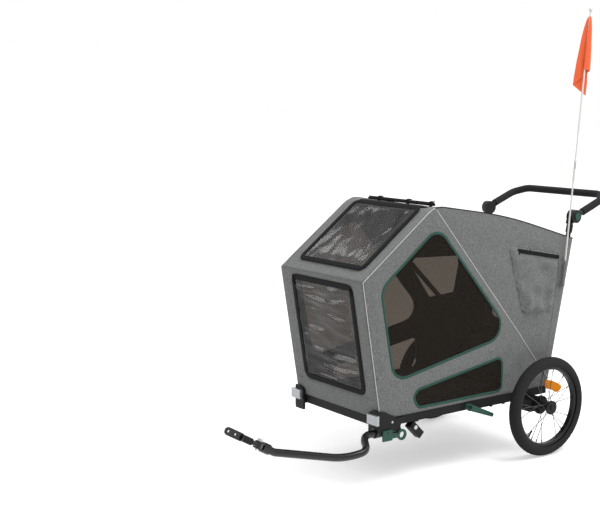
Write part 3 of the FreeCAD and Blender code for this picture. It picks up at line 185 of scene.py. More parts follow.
# The same weave in near-black greys for the lining, which makes the inside of the cabin dark
DARK_CLOTH = melange("dark polyester", "#2c2c2c", "#3c3c3b")
# Knitted mosquito net: lets a brown half-light through. Its threads, 1 mm apart, are drawn as ribs at 3 mm
NET = ribbed("polyester net", "#59524b", roughness=0.0, pitch=3, Transmission_Weight=0.8, IOR=1.0)
# Calendered clear PVC, drawn as a near-black sheet that is 60 % opaque: painted shade of the dark cabin
# behind it, with glossy reflections along its creases
SHADE_PAINTED_VINYL = grained("clear pvc sheet with painted shade", "#0e0d0f", roughness=0.14, grain=25, depth=0.02, Alpha=0.6, IOR=1.45)
# Grosgrain tape round the windows: a matt green. Its ribs, 1 mm apart, are drawn at 3 mm to show
GREEN_TAPE = ribbed("green grosgrain tape", "#2f5248", roughness=0.75, pitch=3, Specular_IOR_Level=0.2)
# Woven nylon tape: a matt black, its ribs drawn as coarse as the green tape's
BLACK_TAPE = ribbed("black nylon tape", "#131314", roughness=0.75, pitch=3, Specular_IOR_Level=0.15)
# Glass bead piping: an even silver grey line
PIPING = grained("reflective piping", "#c8c9c7", roughness=0.4, grain=2, depth=0.05)
# Powder coat on the frame's aluminium tube: a matt black with a fine orange peel
COATED = grained("powder coated tube", "#1f1f1f", roughness=0.55, grain=1.5, depth=0.08,
                 Specular_IOR_Level=0.12)
# A smoother powder coat on the handle: a soft line of light runs along it
BLACK_COATED = grained("black powder coat", "#1d1d1e", roughness=0.38, grain=1.5, depth=0.05,
                       Specular_IOR_Level=0.25)
# Stove enamel on the steel tow arm: smooth, deep black and glossy
ENAMEL = grained("black enamel", "#121213", roughness=0.22, grain=12, depth=0.02, Specular_IOR_Level=0.4)
# Glass-filled nylon moulded in a spark-eroded tool: half matt. Its fine grain is drawn at 1.2 mm to show
NYLON = grained("moulded nylon", "#1b1b1c", roughness=0.55, grain=1.2, depth=0.1, Specular_IOR_Level=0.18)
# Moulded ABS of the levers and buttons: a dark green with a satin face
GREEN_ABS = grained("green abs", "#274f43", roughness=0.42, grain=1.5, depth=0.05, Specular_IOR_Level=0.25)
# Extruded polypropylene board below the mat: a dull black, slightly pebbled
FLOOR_BOARD = grained("polypropylene board", "#2a2a2b", roughness=0.6, grain=3, depth=0.15)
# Vulcanised rubber: a dry dark grey without gloss
RUBBER = grained("tyre rubber", "#2b2b2b", roughness=0.85, grain=1.5, depth=0.12, Specular_IOR_Level=0.14)
# Closed cell foam on the handle: matt, soft and finely pitted
FOAM = grained("closed cell foam", "#2b2b2d", roughness=0.95, grain=1.8, depth=0.35, Specular_IOR_Level=0.15)
# Drawn spoke wire: thin grey lines with a dull metal light along them
SPOKE_WIRE = grained("drawn steel wire", "#58595b", roughness=0.4, grain=4, depth=0.01, Metallic=1.0)
# Zinc plated steel: bright and a little cloudy from tumbling
ZINC = grained("zinc plated steel", "#b4b6b5", roughness=0.36, grain=6, depth=0.02, Metallic=1.0)
# Anodised aluminium of the rims and nipples: black with a faint metal sheen
RIM = grained("anodised black rim", "#202022", roughness=0.36, grain=8, depth=0.02, Metallic=0.6)
# Moulded amber acrylic: a bright orange. Its prisms, 2 mm across, are drawn at 5 mm to show
AMBER = prismatic("amber acrylic", "#d8800c", cell=5, Specular_IOR_Level=0.05)
# Moulded clear acrylic over the same prisms: a silvery face
CLEAR = prismatic("clear acrylic", "#a4a8ab", cell=5, Metallic=0.5)
# Gel coated fibreglass rod: smooth and nearly white
FIBREGLASS = grained("white fibreglass", "#dededa", roughness=0.4, grain=8, depth=0.02)
# Thin woven flag nylon: a bright orange with a slight sheen. Its threads are drawn 2.5 mm apart to show
FLAG = ribbed("orange flag nylon", "#f2642f", roughness=0.6, pitch=2.5, Sheen_Weight=0.2)
# Woven polyester of the quilted mat: a matt charcoal with a cool cast
QUILT = melange("quilted polyester", "#2c2c30", "#47474d")


# Builders for cloth, tapes and tubes

def rounded(corners, radius, steps=6):
    """The outline of a polygon with its corners rounded."""
    points = []
    for i, corner in enumerate(corners):
        here = Vector(corner)
        before = (Vector(corners[i - 1]) - here).normalized()
        after = (Vector(corners[(i + 1) % len(corners)]) - here).normalized()
        half = before.angle(after) / 2
        centre = here + (before + after).normalized() * (radius / sin(half))
        reach = radius / tan(half)
        first, last = here + before * reach - centre, here + after * reach - centre
        for k in range(steps + 1):
            points.append(centre + first.slerp(last, k / steps).normalized() * radius)
    return points


def rectangle(half, low, high):
    """A rectangle that reaches this far to either side of the middle."""
    return [(-half, low), (half, low), (half, high), (-half, high)]


def spaced(loop, step):
    """A closed loop divided so that no edge is longer than the step."""
    points = []
    for i, start in enumerate(loop):
        start, end = Vector(start), Vector(loop[(i + 1) % len(loop)])
        count = max(1, round((end - start).length / step))
        points += [start.lerp(end, k / count) for k in range(count)]
    return points


def within(points, loop):
    """Which of the points lie inside a closed loop."""
    x, y = np.array(points).T
    found = np.zeros(len(x), bool)
    for i, start in enumerate(loop):
        end = loop[(i + 1) % len(loop)]
        if start[1] != end[1]:
            crossing = (start[1] > y) != (end[1] > y)
            meets = start[0] + (y - start[1]) / (end[1] - start[1]) * (end[0] - start[0])
            found ^= crossing & (x < meets)
    return found


def mesh_piece(name, points, faces):
    """A smoothly shaded mesh, placed in the scene."""
    data = bpy.data.meshes.new(name)
    data.from_pydata([tuple(p) for p in points], [], faces)
    data.validate()
    data.shade_smooth()
    return placed(name, data)


def cloth(name, outline, holes, step, place, thickness=CLOTH, seam=()):
    """A sheet of triangles inside an outline and round its holes.

    place(u, v, inset) puts a flat point in space, inset being its distance from the nearest seam."""
    row_height, clear_of_seams = 0.866 * step, 0.6 * step
    loops = [spaced(loop, step) for loop in [outline] + holes]
    points, edges = [Vector(p) for p in seam], [(i, i + 1) for i in range(len(seam) - 1)]
    for loop in loops:
        start = len(points)
        points += loop
        edges += [(start + i, start + (i + 1) % len(loop)) for i in range(len(loop))]
    seams = kdtree.KDTree(len(points))
    for i, p in enumerate(points):
        seams.insert((*p, 0), i)
    seams.balance()

    def keeps(candidates):
        kept = within(candidates, loops[0])
        for hole in loops[1:]:
            kept &= ~within(candidates, hole)
        return kept

    us, vs = [p[0] for p in points], [p[1] for p in points]
    grid = []
    for j, v in enumerate(np.arange(min(vs), max(vs), row_height)):
        grid += [(u, v) for u in np.arange(min(us) + step / 2 * (j % 2), max(us), step)]
    for candidate, kept in zip(grid, keeps(grid)):
        if kept and seams.find((*candidate, 0))[2] > clear_of_seams:
            points.append(Vector(candidate))
    flat, _, triangles = geometry.delaunay_2d_cdt(points, edges, [], 0, 1e-4)[:3]
    centres = [sum((flat[i] for i in t), Vector((0, 0))) / 3 for t in triangles]
    faces = [t for t, kept in zip(triangles, keeps(centres)) if kept]
    made = mesh_piece(name, [place(p[0], p[1], seams.find((*p, 0))[2]) for p in flat], faces)
    if thickness:
        solid = made.modifiers.new("thickness", "SOLIDIFY")
        solid.thickness = thickness / 1000
        solid.offset = 0
    return made


def grid_faces(rows, columns, ring=False, closed=False):
    """Faces over points laid row by row. Each row may be a ring, and the last row may join the first."""
    size = columns if ring else columns + 1
    count = rows if closed else rows + 1
    faces = []
    for j in range(rows):
        near, far = j * size, (j + 1) % count * size
        for k in range(columns):
            after = (k + 1) % size
            faces.append((near + k, near + after, far + after, far + k))
    return faces


def band(name, path, outward, width, rise, closed=True):
    """A tape sewn along a line: a low arched strip."""
    section = [(-0.5, 0), (-0.42, 0.75), (-0.2, 1), (0.2, 1), (0.42, 0.75), (0.5, 0)]
    points, count = [], len(path)
    for i, p in enumerate(path):
        ahead = path[(i + 1) % count] if closed or i + 1 < count else p
        behind = path[i - 1] if closed or i > 0 else p
        side = outward.cross(ahead - behind).normalized()
        points += [p + (side * width * a + outward * rise * b) / 1000 for a, b in section]
    rows = count if closed else count - 1
    return mesh_piece(name, points, grid_faces(rows, len(section), ring=True, closed=closed))


def tube(name, paths, radius):
    """Round bars or cords of one thickness, each along its line of points."""
    curve = bpy.data.curves.new(name, "CURVE")
    curve.dimensions = "3D"
    curve.bevel_depth = radius / 1000
    curve.bevel_resolution = 3
    curve.use_fill_caps = True
    for path in paths:
        spline = curve.splines.new("POLY")
        spline.points.add(len(path) - 1)
        for point, p in zip(spline.points, path):
            point.co = (*p, 1)
    holder = bpy.data.objects.new(name, curve)
    data = bpy.data.meshes.new_from_object(holder)
    bpy.data.objects.remove(holder)
    data.shade_smooth()
    return placed(name, data)


def turned_piece(name, base, axis, profile, count=20):
    """A round piece about an axis, from the radii at heights along it in millimetres."""
    side = axis.orthogonal().normalized()
    other = axis.cross(side)
    points = []
    for height, radius in profile:
        for k in range(count):
            turn = tau * k / count
            around = side * cos(turn) + other * sin(turn)
            points.append(base + (axis * height + around * radius) / 1000)
    return mesh_piece(name, points, grid_faces(len(profile) - 1, count, ring=True))


def dress(piece, material, body, slot, *replaced):
    """Gives a piece its material, the body it moves with and the solids it stands for."""
    piece.data.materials.clear()
    piece.data.materials.append(material)
    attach(piece, body)
    if replaced:
        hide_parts(*replaced)
    return piece


def crumple(piece):
    """Gives a soft piece a mesh of its own."""
    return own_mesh(piece)


def puckers(place, size):
    """Smooth noise from -1 to 1, its waves about this many millimetres long."""
    return noise.noise(Vector(place) / size)


def ease(inset, reach):
    """From 0 at a seam to 1 at this distance from it."""
    t = min(inset / reach, 1)
    return t * t * (3 - 2 * t)


# Shapes of the cabin's panels

# the roof in side view, how far its two bends reach, and how far along it each corner lies
ROOF = [FRONT_TOP, RIDGE, SWELL, REAR_TOP]
ROOF_BENDS = [45, 150]
ROOF_RUNS = [dist(a, b) for a, b in zip(ROOF, ROOF[1:])]
ROOF_MARKS = [0, ROOF_RUNS[0], ROOF_RUNS[0] + ROOF_RUNS[1], sum(ROOF_RUNS)]
ROOF_STEP = 14


def roof_line(s):
    """The side view's point this far along the roof, whose two bends are rounded."""
    for i, bend in enumerate(ROOF_BENDS, 1):
        if abs(s - ROOF_MARKS[i]) < bend:
            corner, t = Vector(ROOF[i]), (s - ROOF_MARKS[i] + bend) / (2 * bend)
            before = corner.lerp(Vector(ROOF[i - 1]), bend / ROOF_RUNS[i - 1])
            after = corner.lerp(Vector(ROOF[i + 1]), bend / ROOF_RUNS[i])
            return before.lerp(corner, t).lerp(corner.lerp(after, t), t)
    i = max(k for k in range(3) if ROOF_MARKS[k] <= max(s, 0))
    return Vector(ROOF[i]).lerp(Vector(ROOF[i + 1]), (s - ROOF_MARKS[i]) / ROOF_RUNS[i])


def roof_point(x, s, lift):
    """A point across the roof, along it from the front, and out from it."""
    ahead = (roof_line(s + 2) - roof_line(s - 2)).normalized()
    p = roof_line(s) + Vector((-ahead.y, ahead.x)) * lift
    return at(x, p.x, p.y)


def panel(start, end):
    """Places points on a flat panel: across, along from its start, and out from it."""
    ahead = (Vector(end) - Vector(start)).normalized()
    out = Vector((-ahead.y, ahead.x))

    def point(x, along, lift):
        p = Vector(start) + ahead * along + out * lift
        return at(x, p.x, p.y)

    return point


front_point = panel(FRONT_FOOT, FRONT_TOP)
rear_point = panel(REAR_TOP, REAR_FOOT)
FRONT_LENGTH = dist(FRONT_FOOT, FRONT_TOP)
REAR_LENGTH = dist(REAR_TOP, REAR_FOOT)


def area_of(loop):
    """The area inside a closed loop of millimetres, in square metres."""
    loop = [tuple(p) for p in loop]
    return abs(sum(a[0] * b[1] - b[0] * a[1] for a, b in zip(loop, loop[1:] + loop[:1]))) / 2e6


def spaced_line(corners, step):
    """An open line divided so that its points are about a step apart."""
    points = []
    for start, end in zip(corners, corners[1:]):
        count = max(1, round(dist(start, end) / step))
        points += [tuple(Vector(start).lerp(Vector(end), k / count)) for k in range(count)]
    return points + [corners[-1]]


def stretched(outline, holes):
    """Works out the flat size and area that a panel of cloth was cut to, and keeps neither."""
    us, vs = [p[0] for p in outline], [p[1] for p in outline]
    flat = ((max(us) - min(us)) / 1000, (max(vs) - min(vs)) / 1000)
    area = area_of(outline) - sum(area_of(hole) for hole in holes)


def lined(name, outline, holes, step, place, body, replaced, seam=()):
    """Grey cloth over a dark lining. place takes the depth below the outer face as its last value."""
    lining_depth = 2.4
    layers = ((name, 0, GREY, step), (f"{name}_lining", lining_depth, DARK_CLOTH, 2 * step))
    pieces = []
    for label, depth, finish, spacing in layers:

        def at_depth(u, v, inset, depth=depth):
            return place(u, v, inset, depth)

        flat = cloth(label, outline, holes, spacing, at_depth, seam=seam)
        dress(flat, finish, body, "grey_fabric", *(() if depth else replaced))
        stretched(outline, holes)
        pieces.append(flat)
    return pieces


def netting(name, outline, step, place, body, rests_on, *replaced):
    """A thin net in an opening."""
    net = cloth(name, outline, [], step, place, 0)
    dress(net, NET, body, "dark_mesh", *replaced)
    stretched(outline, [])
    return net


def clear_sheet(name, outline, step, place, body, replaced):
    """A clear sheet, its creases evened out so that its reflections run smoothly."""
    sheet = cloth(name, outline, [], step, place, 0)
    smooth = sheet.modifiers.new("even", "SMOOTH")
    smooth.factor = 0.5
    smooth.iterations = 6
    # the near-black colour of this vinyl is painted shade
    dress(sheet, SHADE_PAINTED_VINYL, body, "clear_vinyl", replaced)
    stretched(outline, [])
    return sheet


# Walls with their windows

WALL_STEP = 11
# the windows' corners in side view, and the windows of the left wall, 1, and the right one, -1, each with
# the radius of its corners
MAIN_WINDOW = [(-525, 948), (-796, 739), (-730, 388), (-131, 499)]
LOW_WINDOW = [(-613, 343), (-637, 316), (-609, 274), (-174, 274), (-174, 411)]
REAR_WINDOW = [(-222, 722), (-108, 566), (38, 574), (66, 700), (60, 742), (-190, 752)]
WINDOWS = {1: [(MAIN_WINDOW, 64), (LOW_WINDOW, 26)]}
WINDOWS[-1] = WINDOWS[1] + [(REAR_WINDOW, 14)]
# the seam that runs from just below the ridge down to the wheel
DIAGONAL_SEAM = spaced_line([(-536, 1012), (-76, 485), (19, 368), (113, 268)], WALL_STEP)[:-2]
TAPE_WIDTH, TAPE_RISE = 10.5, 1.6


def wall_out(y, z, soft, sign):
    """How far out the wall's cloth stands: a little full, and uneven at the rear."""
    taut_to, loosens = -330, 250
    rear = ease(y - taut_to, loosens) if y > taut_to else 0
    belly = 3 + 2 * puckers((y, z, sign * 40), 150)
    crease = puckers((0.6 * y + 0.8 * z, 2.2 * (0.8 * y - 0.6 * z), sign * 11), 75)
    return WALL_X - CLOTH / 2 + soft * (belly + (0.6 + 3.2 * rear) * crease)


def side_wall(side, sign):
    """A side of the cabin, open at its windows, whose outlines it gives back."""
    soft_edge = 60
    top = [tuple(roof_line(s)) for s in np.arange(0, ROOF_MARKS[-1], ROOF_STEP)]
    outline = [FRONT_FOOT] + top + [REAR_TOP, REAR_FOOT]
    holes = [rounded(corners, radius) for corners, radius in WINDOWS[sign]]

    def place(y, z, inset, depth):
        return at(sign * (wall_out(y, z, ease(inset, soft_edge), sign) - depth), y, z)

    walls = lined(f"wall_cloth_{side}", outline, holes, WALL_STEP, place, "base", [f"side_wall_{side}"],
                  DIAGONAL_SEAM)
    for wall in walls:
        crumple(wall)
    return holes


def window_nets(side, sign, holes):
    """Nets that sag a little inwards, and the tape sewn round them."""
    outward = Vector((sign, 0, 0))
    behind, sag, sag_reach = 1.5, 2, 120

    def place(y, z, inset):
        return at(sign * (WALL_X - behind - sag * ease(inset, sag_reach)), y, z)

    for i, hole in enumerate(holes):
        net = netting(f"window_net_{side}_{i}", hole, 2 * WALL_STEP, place, "base", f"wall_cloth_{side}",
                      "window_meshes")
        crumple(net)
        path = [at(sign * WALL_X, *p) for p in spaced(hole, 12)]
        tape = band(f"window_tape_{side}_{i}", path, outward, TAPE_WIDTH, TAPE_RISE)
        crumple(dress(tape, GREEN_TAPE, "base", "green_plastic"))


def piping(side, sign):
    """Reflective cords on the front edge and the seam, and a black one behind the ridge."""
    radius, proud = 1.5, 0.3
    x = sign * (WALL_X + proud)
    edge = [tuple(roof_line(s)) for s in np.arange(0, ROOF_MARKS[1] + 1, ROOF_STEP)]
    behind_ridge = np.arange(ROOF_MARKS[1], ROOF_MARKS[-1], ROOF_STEP)
    rear_edge = [tuple(roof_line(s)) for s in behind_ridge] + [REAR_TOP]
    lines = (
        ("front", spaced_line([FRONT_FOOT, FRONT_TOP], 20) + edge, PIPING, "pole_white"),
        ("diagonal", DIAGONAL_SEAM, PIPING, "pole_white"),
        ("rear", rear_edge, BLACK_TAPE, "zip_black"),
    )
    for name, line, finish, slot in lines:
        cord = tube(f"piping_{name}_{side}", [[at(x, *p) for p in line]], radius)
        crumple(dress(cord, finish, "base", slot))


for side_name, side_sign in SIDES:
    window_nets(side_name, side_sign, side_wall(side_name, side_sign))
    piping(side_name, side_sign)


# Roof, front and back

# half widths of the clear covers, and the width of their binding
FRONT_HALF, ROOF_HALF = 190, 200
BORDER = 24


def flat_on(point, lift):
    """Places a sheet flat on a panel, this far out from it."""
    return lambda x, v, inset: point(x, v, lift)


def bellied(point, seed):
    """Places the cloth of an end, held at its seams and a little full between them."""
    soft_edge = 60

    def place(x, v, inset, depth):
        belly = 1 + 1.5 * puckers((x, v, seed), 90)
        return point(x, v, -CLOTH / 2 - depth + ease(inset, soft_edge) * belly)

    return place


def roof():
    """The roof's cloth, sagging between the hoops, with a net in its opening."""
    outline = rectangle(WALL_X - 0.5, 0, ROOF_MARKS[-1])
    half, low, high, corner = ROOF_HALF - BORDER, 74, 388, 26
    hole = rounded(rectangle(half, low, high), corner)
    step, soft_edge, net_depth = 12, 70, 7

    def place(x, s, inset, depth):
        sag = -3 + 2.5 * puckers((x, s, 3), 120) + puckers((x, s, 8), 45)
        return roof_point(x, s, -CLOTH / 2 - depth + ease(inset, soft_edge) * sag)

    panels, hoops = ["roof_front_panel", "roof_rear_panel"], ["ridge_hoop", "front_hoop", "rear_hoop"]
    for sheet in lined("roof_cloth", outline, [hole], step, place, "base", panels):
        crumple(sheet)
    crumple(netting("roof_net", hole, 2 * step, flat_on(roof_point, -net_depth), "base", "roof_cloth"))


def front_wall():
    """The front's cloth, with a net in its opening."""
    outline = rectangle(PANEL_X, SKIRT, FRONT_LENGTH)
    half, low, high, corner = FRONT_HALF - BORDER, 100, 484, 26
    hole = rounded(rectangle(half, low, high), corner)
    step, net_depth, seed = 12, 6, 21
    place = bellied(front_point, seed)
    lined("front_cloth", outline, [hole], step, place, "front_frame", ["front_panel"])
    netting("front_net", hole, 2 * step, flat_on(front_point, -net_depth), "front_frame", "front_cloth")


def skirts():
    """The strips of cloth below the parts that fold or open."""
    step, soft_edge = 14, 30
    strips = (("front", front_point, 0, SKIRT), ("rear", rear_point, REAR_LENGTH - REAR_HINGE, REAR_LENGTH))
    for name, point, start, end in strips:
        outline = rectangle(PANEL_X, start, end)

        def place(x, v, inset, point=point):
            return point(x, v, -CLOTH / 2 + ease(inset, soft_edge) * puckers((x, v, 31), 70))

        sheet = cloth(f"{name}_skirt", outline, [], step, place)
        dress(sheet, GREY, "base", "grey_fabric", "fabric_skirts")
        stretched(outline, [])


def border(name, point, half, low, high, lift, body, width=BORDER):
    """Black binding round a cover."""
    inner, corner, step, rise = width / 2, 22, 14, 2
    loop = rounded(rectangle(half - inner, low + inner, high - inner), corner)
    path = [point(p.x, p.y, lift) for p in spaced(loop, step)]
    middle = (low + high) / 2
    outward = (point(0, middle, 10) - point(0, middle, 0)).normalized()
    tape = band(name, path, outward, width, rise)
    return dress(tape, BLACK_TAPE, body, "zip_black")


def loose(inset, reach):
    """From 0 where the binding holds a clear sheet flat to 1 at this distance from there."""
    held = BORDER - 8
    return ease(inset - held, reach) if inset > held else 0


def front_cover():
    """The clear sheet in front, with long creases across it."""
    low, high, lift, corner, step = 76, 503, 2.6, 24, 5.5
    outline = rounded(rectangle(FRONT_HALF, low, high), corner)

    def place(x, v, inset):
        creases = 9 * puckers((x / 6, v, 2), 26) + 3 * puckers((x / 3, v + 0.2 * x, 7), 36)
        return front_point(x, v, lift + loose(inset, 26) * (creases - 1))

    clear_sheet("front_vinyl", outline, step, place, "front_flap", "front_cover")
    border("front_vinyl_border", front_point, FRONT_HALF, low, high, lift, "front_flap")


def roof_cover():
    """The clear sheet on the roof, in slack waves."""
    low, high, lift, corner, step = 50, ROOF_RUNS[0] - 12, 2.8, 28, 7
    outline = rounded(rectangle(ROOF_HALF, low, high), corner)

    def place(x, s, inset):
        waves = 4 * puckers((x + 0.6 * s, s / 2.5, 5), 70) + 1.4 * puckers((x, s / 2, 1), 30)
        return roof_point(x, s, lift + loose(inset, 40) * (waves - 2))

    sheet = clear_sheet("roof_vinyl", outline, step, place, "roof_flap", "roof_cover")
    crumple(sheet)
    binding = border("roof_vinyl_border", roof_point, ROOF_HALF, low, high, lift, "roof_flap")
    crumple(binding)


def rear_wall():
    """The fabric panel of the back, with an opening for the door."""
    start, end, step, seed = 4, REAR_LENGTH - REAR_HINGE, 13, 51
    outline = rectangle(PANEL_X, start, end)
    half, low, high, corner = 164, 66, end - 46, 26
    hole = rounded(rectangle(half, low, high), corner)
    place = bellied(rear_point, seed)
    lined("rear_cloth", outline, [hole], step, place, "rear_frame", ["rear_panel"])


def rear_door():
    """The door over that opening: net in a frame of fabric."""
    half, low, high, lift = 190, 40, REAR_LENGTH - REAR_HINGE - 20, 2.6
    rail, soft_edge, binding = 62, 40, 16
    corner, net_corner, step, net_step = 28, 40, 12, 20
    frame_loop = rounded(rectangle(half, low, high), corner)
    net_loop = rounded(rectangle(half - rail, low + rail, high - rail), net_corner)

    def place(x, v, inset):
        return rear_point(x, v, lift + ease(inset, soft_edge) * (1 + 1.5 * puckers((x, v, 61), 60)))

    door = cloth("rear_door_cloth", frame_loop, [net_loop], step, place)
    dress(door, GREY, "rear_flap", "grey_fabric", "rear_door")
    stretched(frame_loop, [net_loop])
    flat = flat_on(rear_point, lift)
    netting("rear_door_net", net_loop, net_step, flat, "rear_flap", "rear_door_cloth")
    border("rear_door_border", rear_point, half, low, high, lift, "rear_flap", binding)
    path = [rear_point(p.x, p.y, lift) for p in spaced(net_loop, step)]
    outward = (rear_point(0, 0, 10) - rear_point(0, 0, 0)).normalized()
    tape = band("rear_door_tape", path, outward, TAPE_WIDTH, TAPE_RISE)
    dress(tape, GREEN_TAPE, "rear_flap", "green_plastic")


def ridge_roll():
    """A rolled-up shade strapped down just behind the ridge."""
    along, radius = ROOF_MARKS[1] + 34, 5
    paths = []
    for shift, lift in ((-4, 4), (4, 4.4), (0, 8)):
        xs = range(-170, 206, 15)
        paths.append([roof_point(x, along + shift + 2 * puckers((x, shift, 9), 60), lift) for x in xs])
    crumple(dress(tube("ridge_roll", paths, radius), BLACK_TAPE, "base", "zip_black"))
    # each tie goes round the roll, with a loose end at its top
    wide, tall, middle = 11, 9, 6
    turns = [k / 12 * tau for k in range(13)]
    for x in (-110, 60, 190):
        ring = [roof_point(x, along + wide * cos(a), middle + tall * sin(a)) for a in turns]
        loose_end = [ring[3], ring[3] + Vector((0.01, 0.012, -0.001))]
        tie = tube(f"roll_tie_{x + 200}", [ring, loose_end], 2)
        crumple(dress(tie, BLACK_TAPE, "base", "zip_black"))


# outer face of the plates at the corners
GUARD_OUT = 257.5


def corner_guards():
    """The moulded corners reach up over the cloth, their top edge falling towards the rear."""
    corners = [(-809, 206), (-809, 291), (-776, 285), (-724, 257), (-698, 230), (-703, 206)]
    outline, thick = rounded(corners, 5), 2.5
    count = len(outline)
    loop = list(range(count))
    faces = [tuple(loop[::-1]), tuple(count + i for i in loop)] + grid_faces(1, count, ring=True)
    for name, sign in SIDES:
        points = [at(sign * x, *p) for x in (GUARD_OUT - thick, GUARD_OUT) for p in outline]
        guard = mesh_piece(f"corner_guard_{name}", points, faces)
        guard.data.shade_flat()
        dress(guard, NYLON, "base", "black_moulding")


def small_fittings():
    """Zip pulls on the front cover, and rivets in the plates at the corners."""
    from_edge, thick = FRONT_HALF - 14, 2.4
    hanging = ((0, 500, 4.5), (2, 488, 7), (3, 462, 6))
    for name, sign in reversed(SIDES):
        path = [front_point(sign * from_edge + x, v, lift) for x, v, lift in hanging]
        dress(tube(f"cover_pull_{name}", [path], thick), NYLON, "front_flap", "zip_black")
    dome = [(0, 4.8), (1, 4.6), (1.8, 3.2), (2.2, 0.1)]
    for name, sign in SIDES:
        base = at(sign * GUARD_OUT, -740, 241)
        rivet = turned_piece(f"corner_rivet_{name}", base, Vector((sign, 0, 0)), dome)
        dress(rivet, ZINC, "base", "spoke_steel")


ridge_roll()
corner_guards()
small_fittings()
roof()
front_wall()
skirts()
front_cover()
roof_cover()
rear_wall()
rear_door()


# Side pocket with its zip, and the sleeve that holds the flagpole

POCKET = [(-160, 849), (126, 794), (97, 566), (-72, 572)]
ZIP_LINE = [(-104, 826), (118, 784)]
POLE_X, POLE_FOOT, POLE_LEAN = 270, (143, 668), radians(5.8)
POLE_BASE, POLE_AXIS = at(POLE_X, *POLE_FOOT), Vector((0, sin(POLE_LEAN), cos(POLE_LEAN)))


def side_pocket():
    """A slack pouch, gathered at its foot and held flat beside its zip."""
    loop = rounded(POCKET, 18)
    foot, gathered = 570, 120
    (zip_y, zip_z), zip_fall = ZIP_LINE[0], 0.19
    beside_zip, flat, least = 10, 7, 2

    def place(y, z, inset):
        low = 1 - min(max((z - foot) / gathered, 0), 1)
        folds = 7 * low * sin(y / 11 + 2 * puckers((y, z, 4), 60))
        sag = 13 * puckers((y + 0.5 * z, z, 71), 85) + 8 * puckers((y, 2 * z - y, 75), 48)
        from_zip = abs(z - zip_z + zip_fall * (y - zip_y))
        free = ease(from_zip - beside_zip, 30) if from_zip > beside_zip else 0
        bulge = flat + free * (max(11 + sag + folds, least) - flat)
        return at(wall_out(y, z, 1, 1) + CLOTH / 2 + ease(inset, 20) * bulge, y, z)

    pouch = cloth("pocket_cloth", loop, [], 8, place)
    dress(pouch, GREY, "base", "grey_fabric", "wall_pockets")
    crumple(pouch)
    stretched(loop, [])
    proud = 10
    path = [at(wall_out(y, z, 1, 1) + proud, y, z) for y, z in spaced_line(ZIP_LINE, 10)]
    zip_tape = band("pocket_zip_tape", path, Vector((1, 0, 0)), 16, 2.4, closed=False)
    crumple(dress(zip_tape, BLACK_TAPE, "base", "zip_black"))


def flag_sleeve():
    """A strip of cloth sewn to the wall with a bulge for the pole."""
    radius, open_half, below, tall, count, rows = 6.2, 125, 4, 104, 14, 12
    turns = [radians(open_half * (2 * k / count - 1)) for k in range(count + 1)]
    section = [(radius * cos(a), radius * sin(a)) for a in turns]
    wall_gap, hem, fold = WALL_X + 3 - POLE_X, 24, 12
    hems = [(wall_gap, -hem), (wall_gap + 0.6, -fold)]
    section = hems + section + [(x, -y) for x, y in reversed(hems)]
    points = []
    for j in range(rows + 1):
        base = POLE_BASE + POLE_AXIS * (tall * j / rows - below) / 1000
        points += [base + Vector((x + 0.4 * puckers((x, y, j), 5), y, 0)) / 1000 for x, y in section]
    sleeve = mesh_piece("flag_sleeve", points, grid_faces(rows, len(section) - 1))
    solid = sleeve.modifiers.new("thickness", "SOLIDIFY")
    solid.thickness = 0.0012
    solid.offset = 1
    crumple(dress(sleeve, GREY, "base", "grey_fabric", "wall_pockets"))


def corner_seam():
    """The fold of cloth that runs from the sleeve down beside the rear edge."""
    line = spaced_line([(REAR_FOOT[0] - 30, 262), (POLE_FOOT[0] - 14, POLE_FOOT[1])], 16)
    path = [at(wall_out(y, z, 0.6, 1) + 0.4, y, z) for y, z in line]
    seam = band("corner_seam", path, Vector((1, 0, 0)), 11, 3.2, closed=False)
    crumple(dress(seam, GREY, "base", "grey_fabric"))


side_pocket()
flag_sleeve()
corner_seam()


# Flag, and the ends and joint of its pole

def between(marks, t):
    """A value that runs smoothly through marks of (place, value)."""
    for (t0, v0), (t1, v1) in zip(marks, marks[1:]):
        if t <= t1:
            share = (t - t0) / (t1 - t0)
            return v0 + (v1 - v0) * share * share * (3 - 2 * share)
    return marks[-1][1]


def flag():
    """A limp pennant folded round its pole, with the free corner lowest behind it."""
    # across the hanging cloth and out of it; then how it lies from its hoist, 0, to its free corner, 1
    right, near = Vector((0.585, 0.811, 0)), Vector((0.811, -0.585, 0))
    aside = [(0, -6), (0.2, 24), (0.62, -40), (1, 18)]
    depth = [(0, 5), (0.1, 6), (0.2, 0), (0.4, -7), (0.62, -10), (0.8, -14), (1, -15)]
    drops = [(0, 208), (0.2, 214), (0.62, 270), (1, 314)]
    rows, columns, top, open_by, beside_pole = 48, 60, 1075, 270, 4
    points = []
    for j in range(rows + 1):
        for k in range(columns + 1):
            t = k / columns
            drop = between(drops, t) * j / rows
            spread = 0.05 + 0.95 * min(drop / open_by, 1) ** 0.45
            across = (between(aside, t) + 2 * puckers((t * 160, drop, 6), 50)) * spread
            away = beside_pole + (between(depth, t) - beside_pole) * spread
            on_pole = POLE_BASE + POLE_AXIS * (top - drop) / 1000
            points.append(on_pole + (right * across + near * away) / 1000)
    pennant = mesh_piece("pennant", points, grid_faces(rows, columns))
    dress(pennant, FLAG, "safety_flag", "flag_orange", "flag_cloth")


def pole_fittings():
    """The ball at the pole's tip, and the ferrule that joins its two halves."""
    middle, radius = 1102, 8
    turns = [radians(a) for a in range(-60, 90, 15)]
    ball = [(middle + radius * sin(a), radius * cos(a)) for a in turns]
    ball = [(1088, 3.4), (1093, 4)] + ball + [(middle + radius, 0.1)]
    ferrule = [(430, 3.4), (431, 4.6), (507, 4.6), (508, 3.4)]
    for name, profile, finish in (("pole_ball", ball, FIBREGLASS), ("pole_ferrule", ferrule, ZINC)):
        dress(turned_piece(name, POLE_BASE, POLE_AXIS, profile), finish, "safety_flag", "pole_white")


flag()
pole_fittings()


# Foam along the push handle

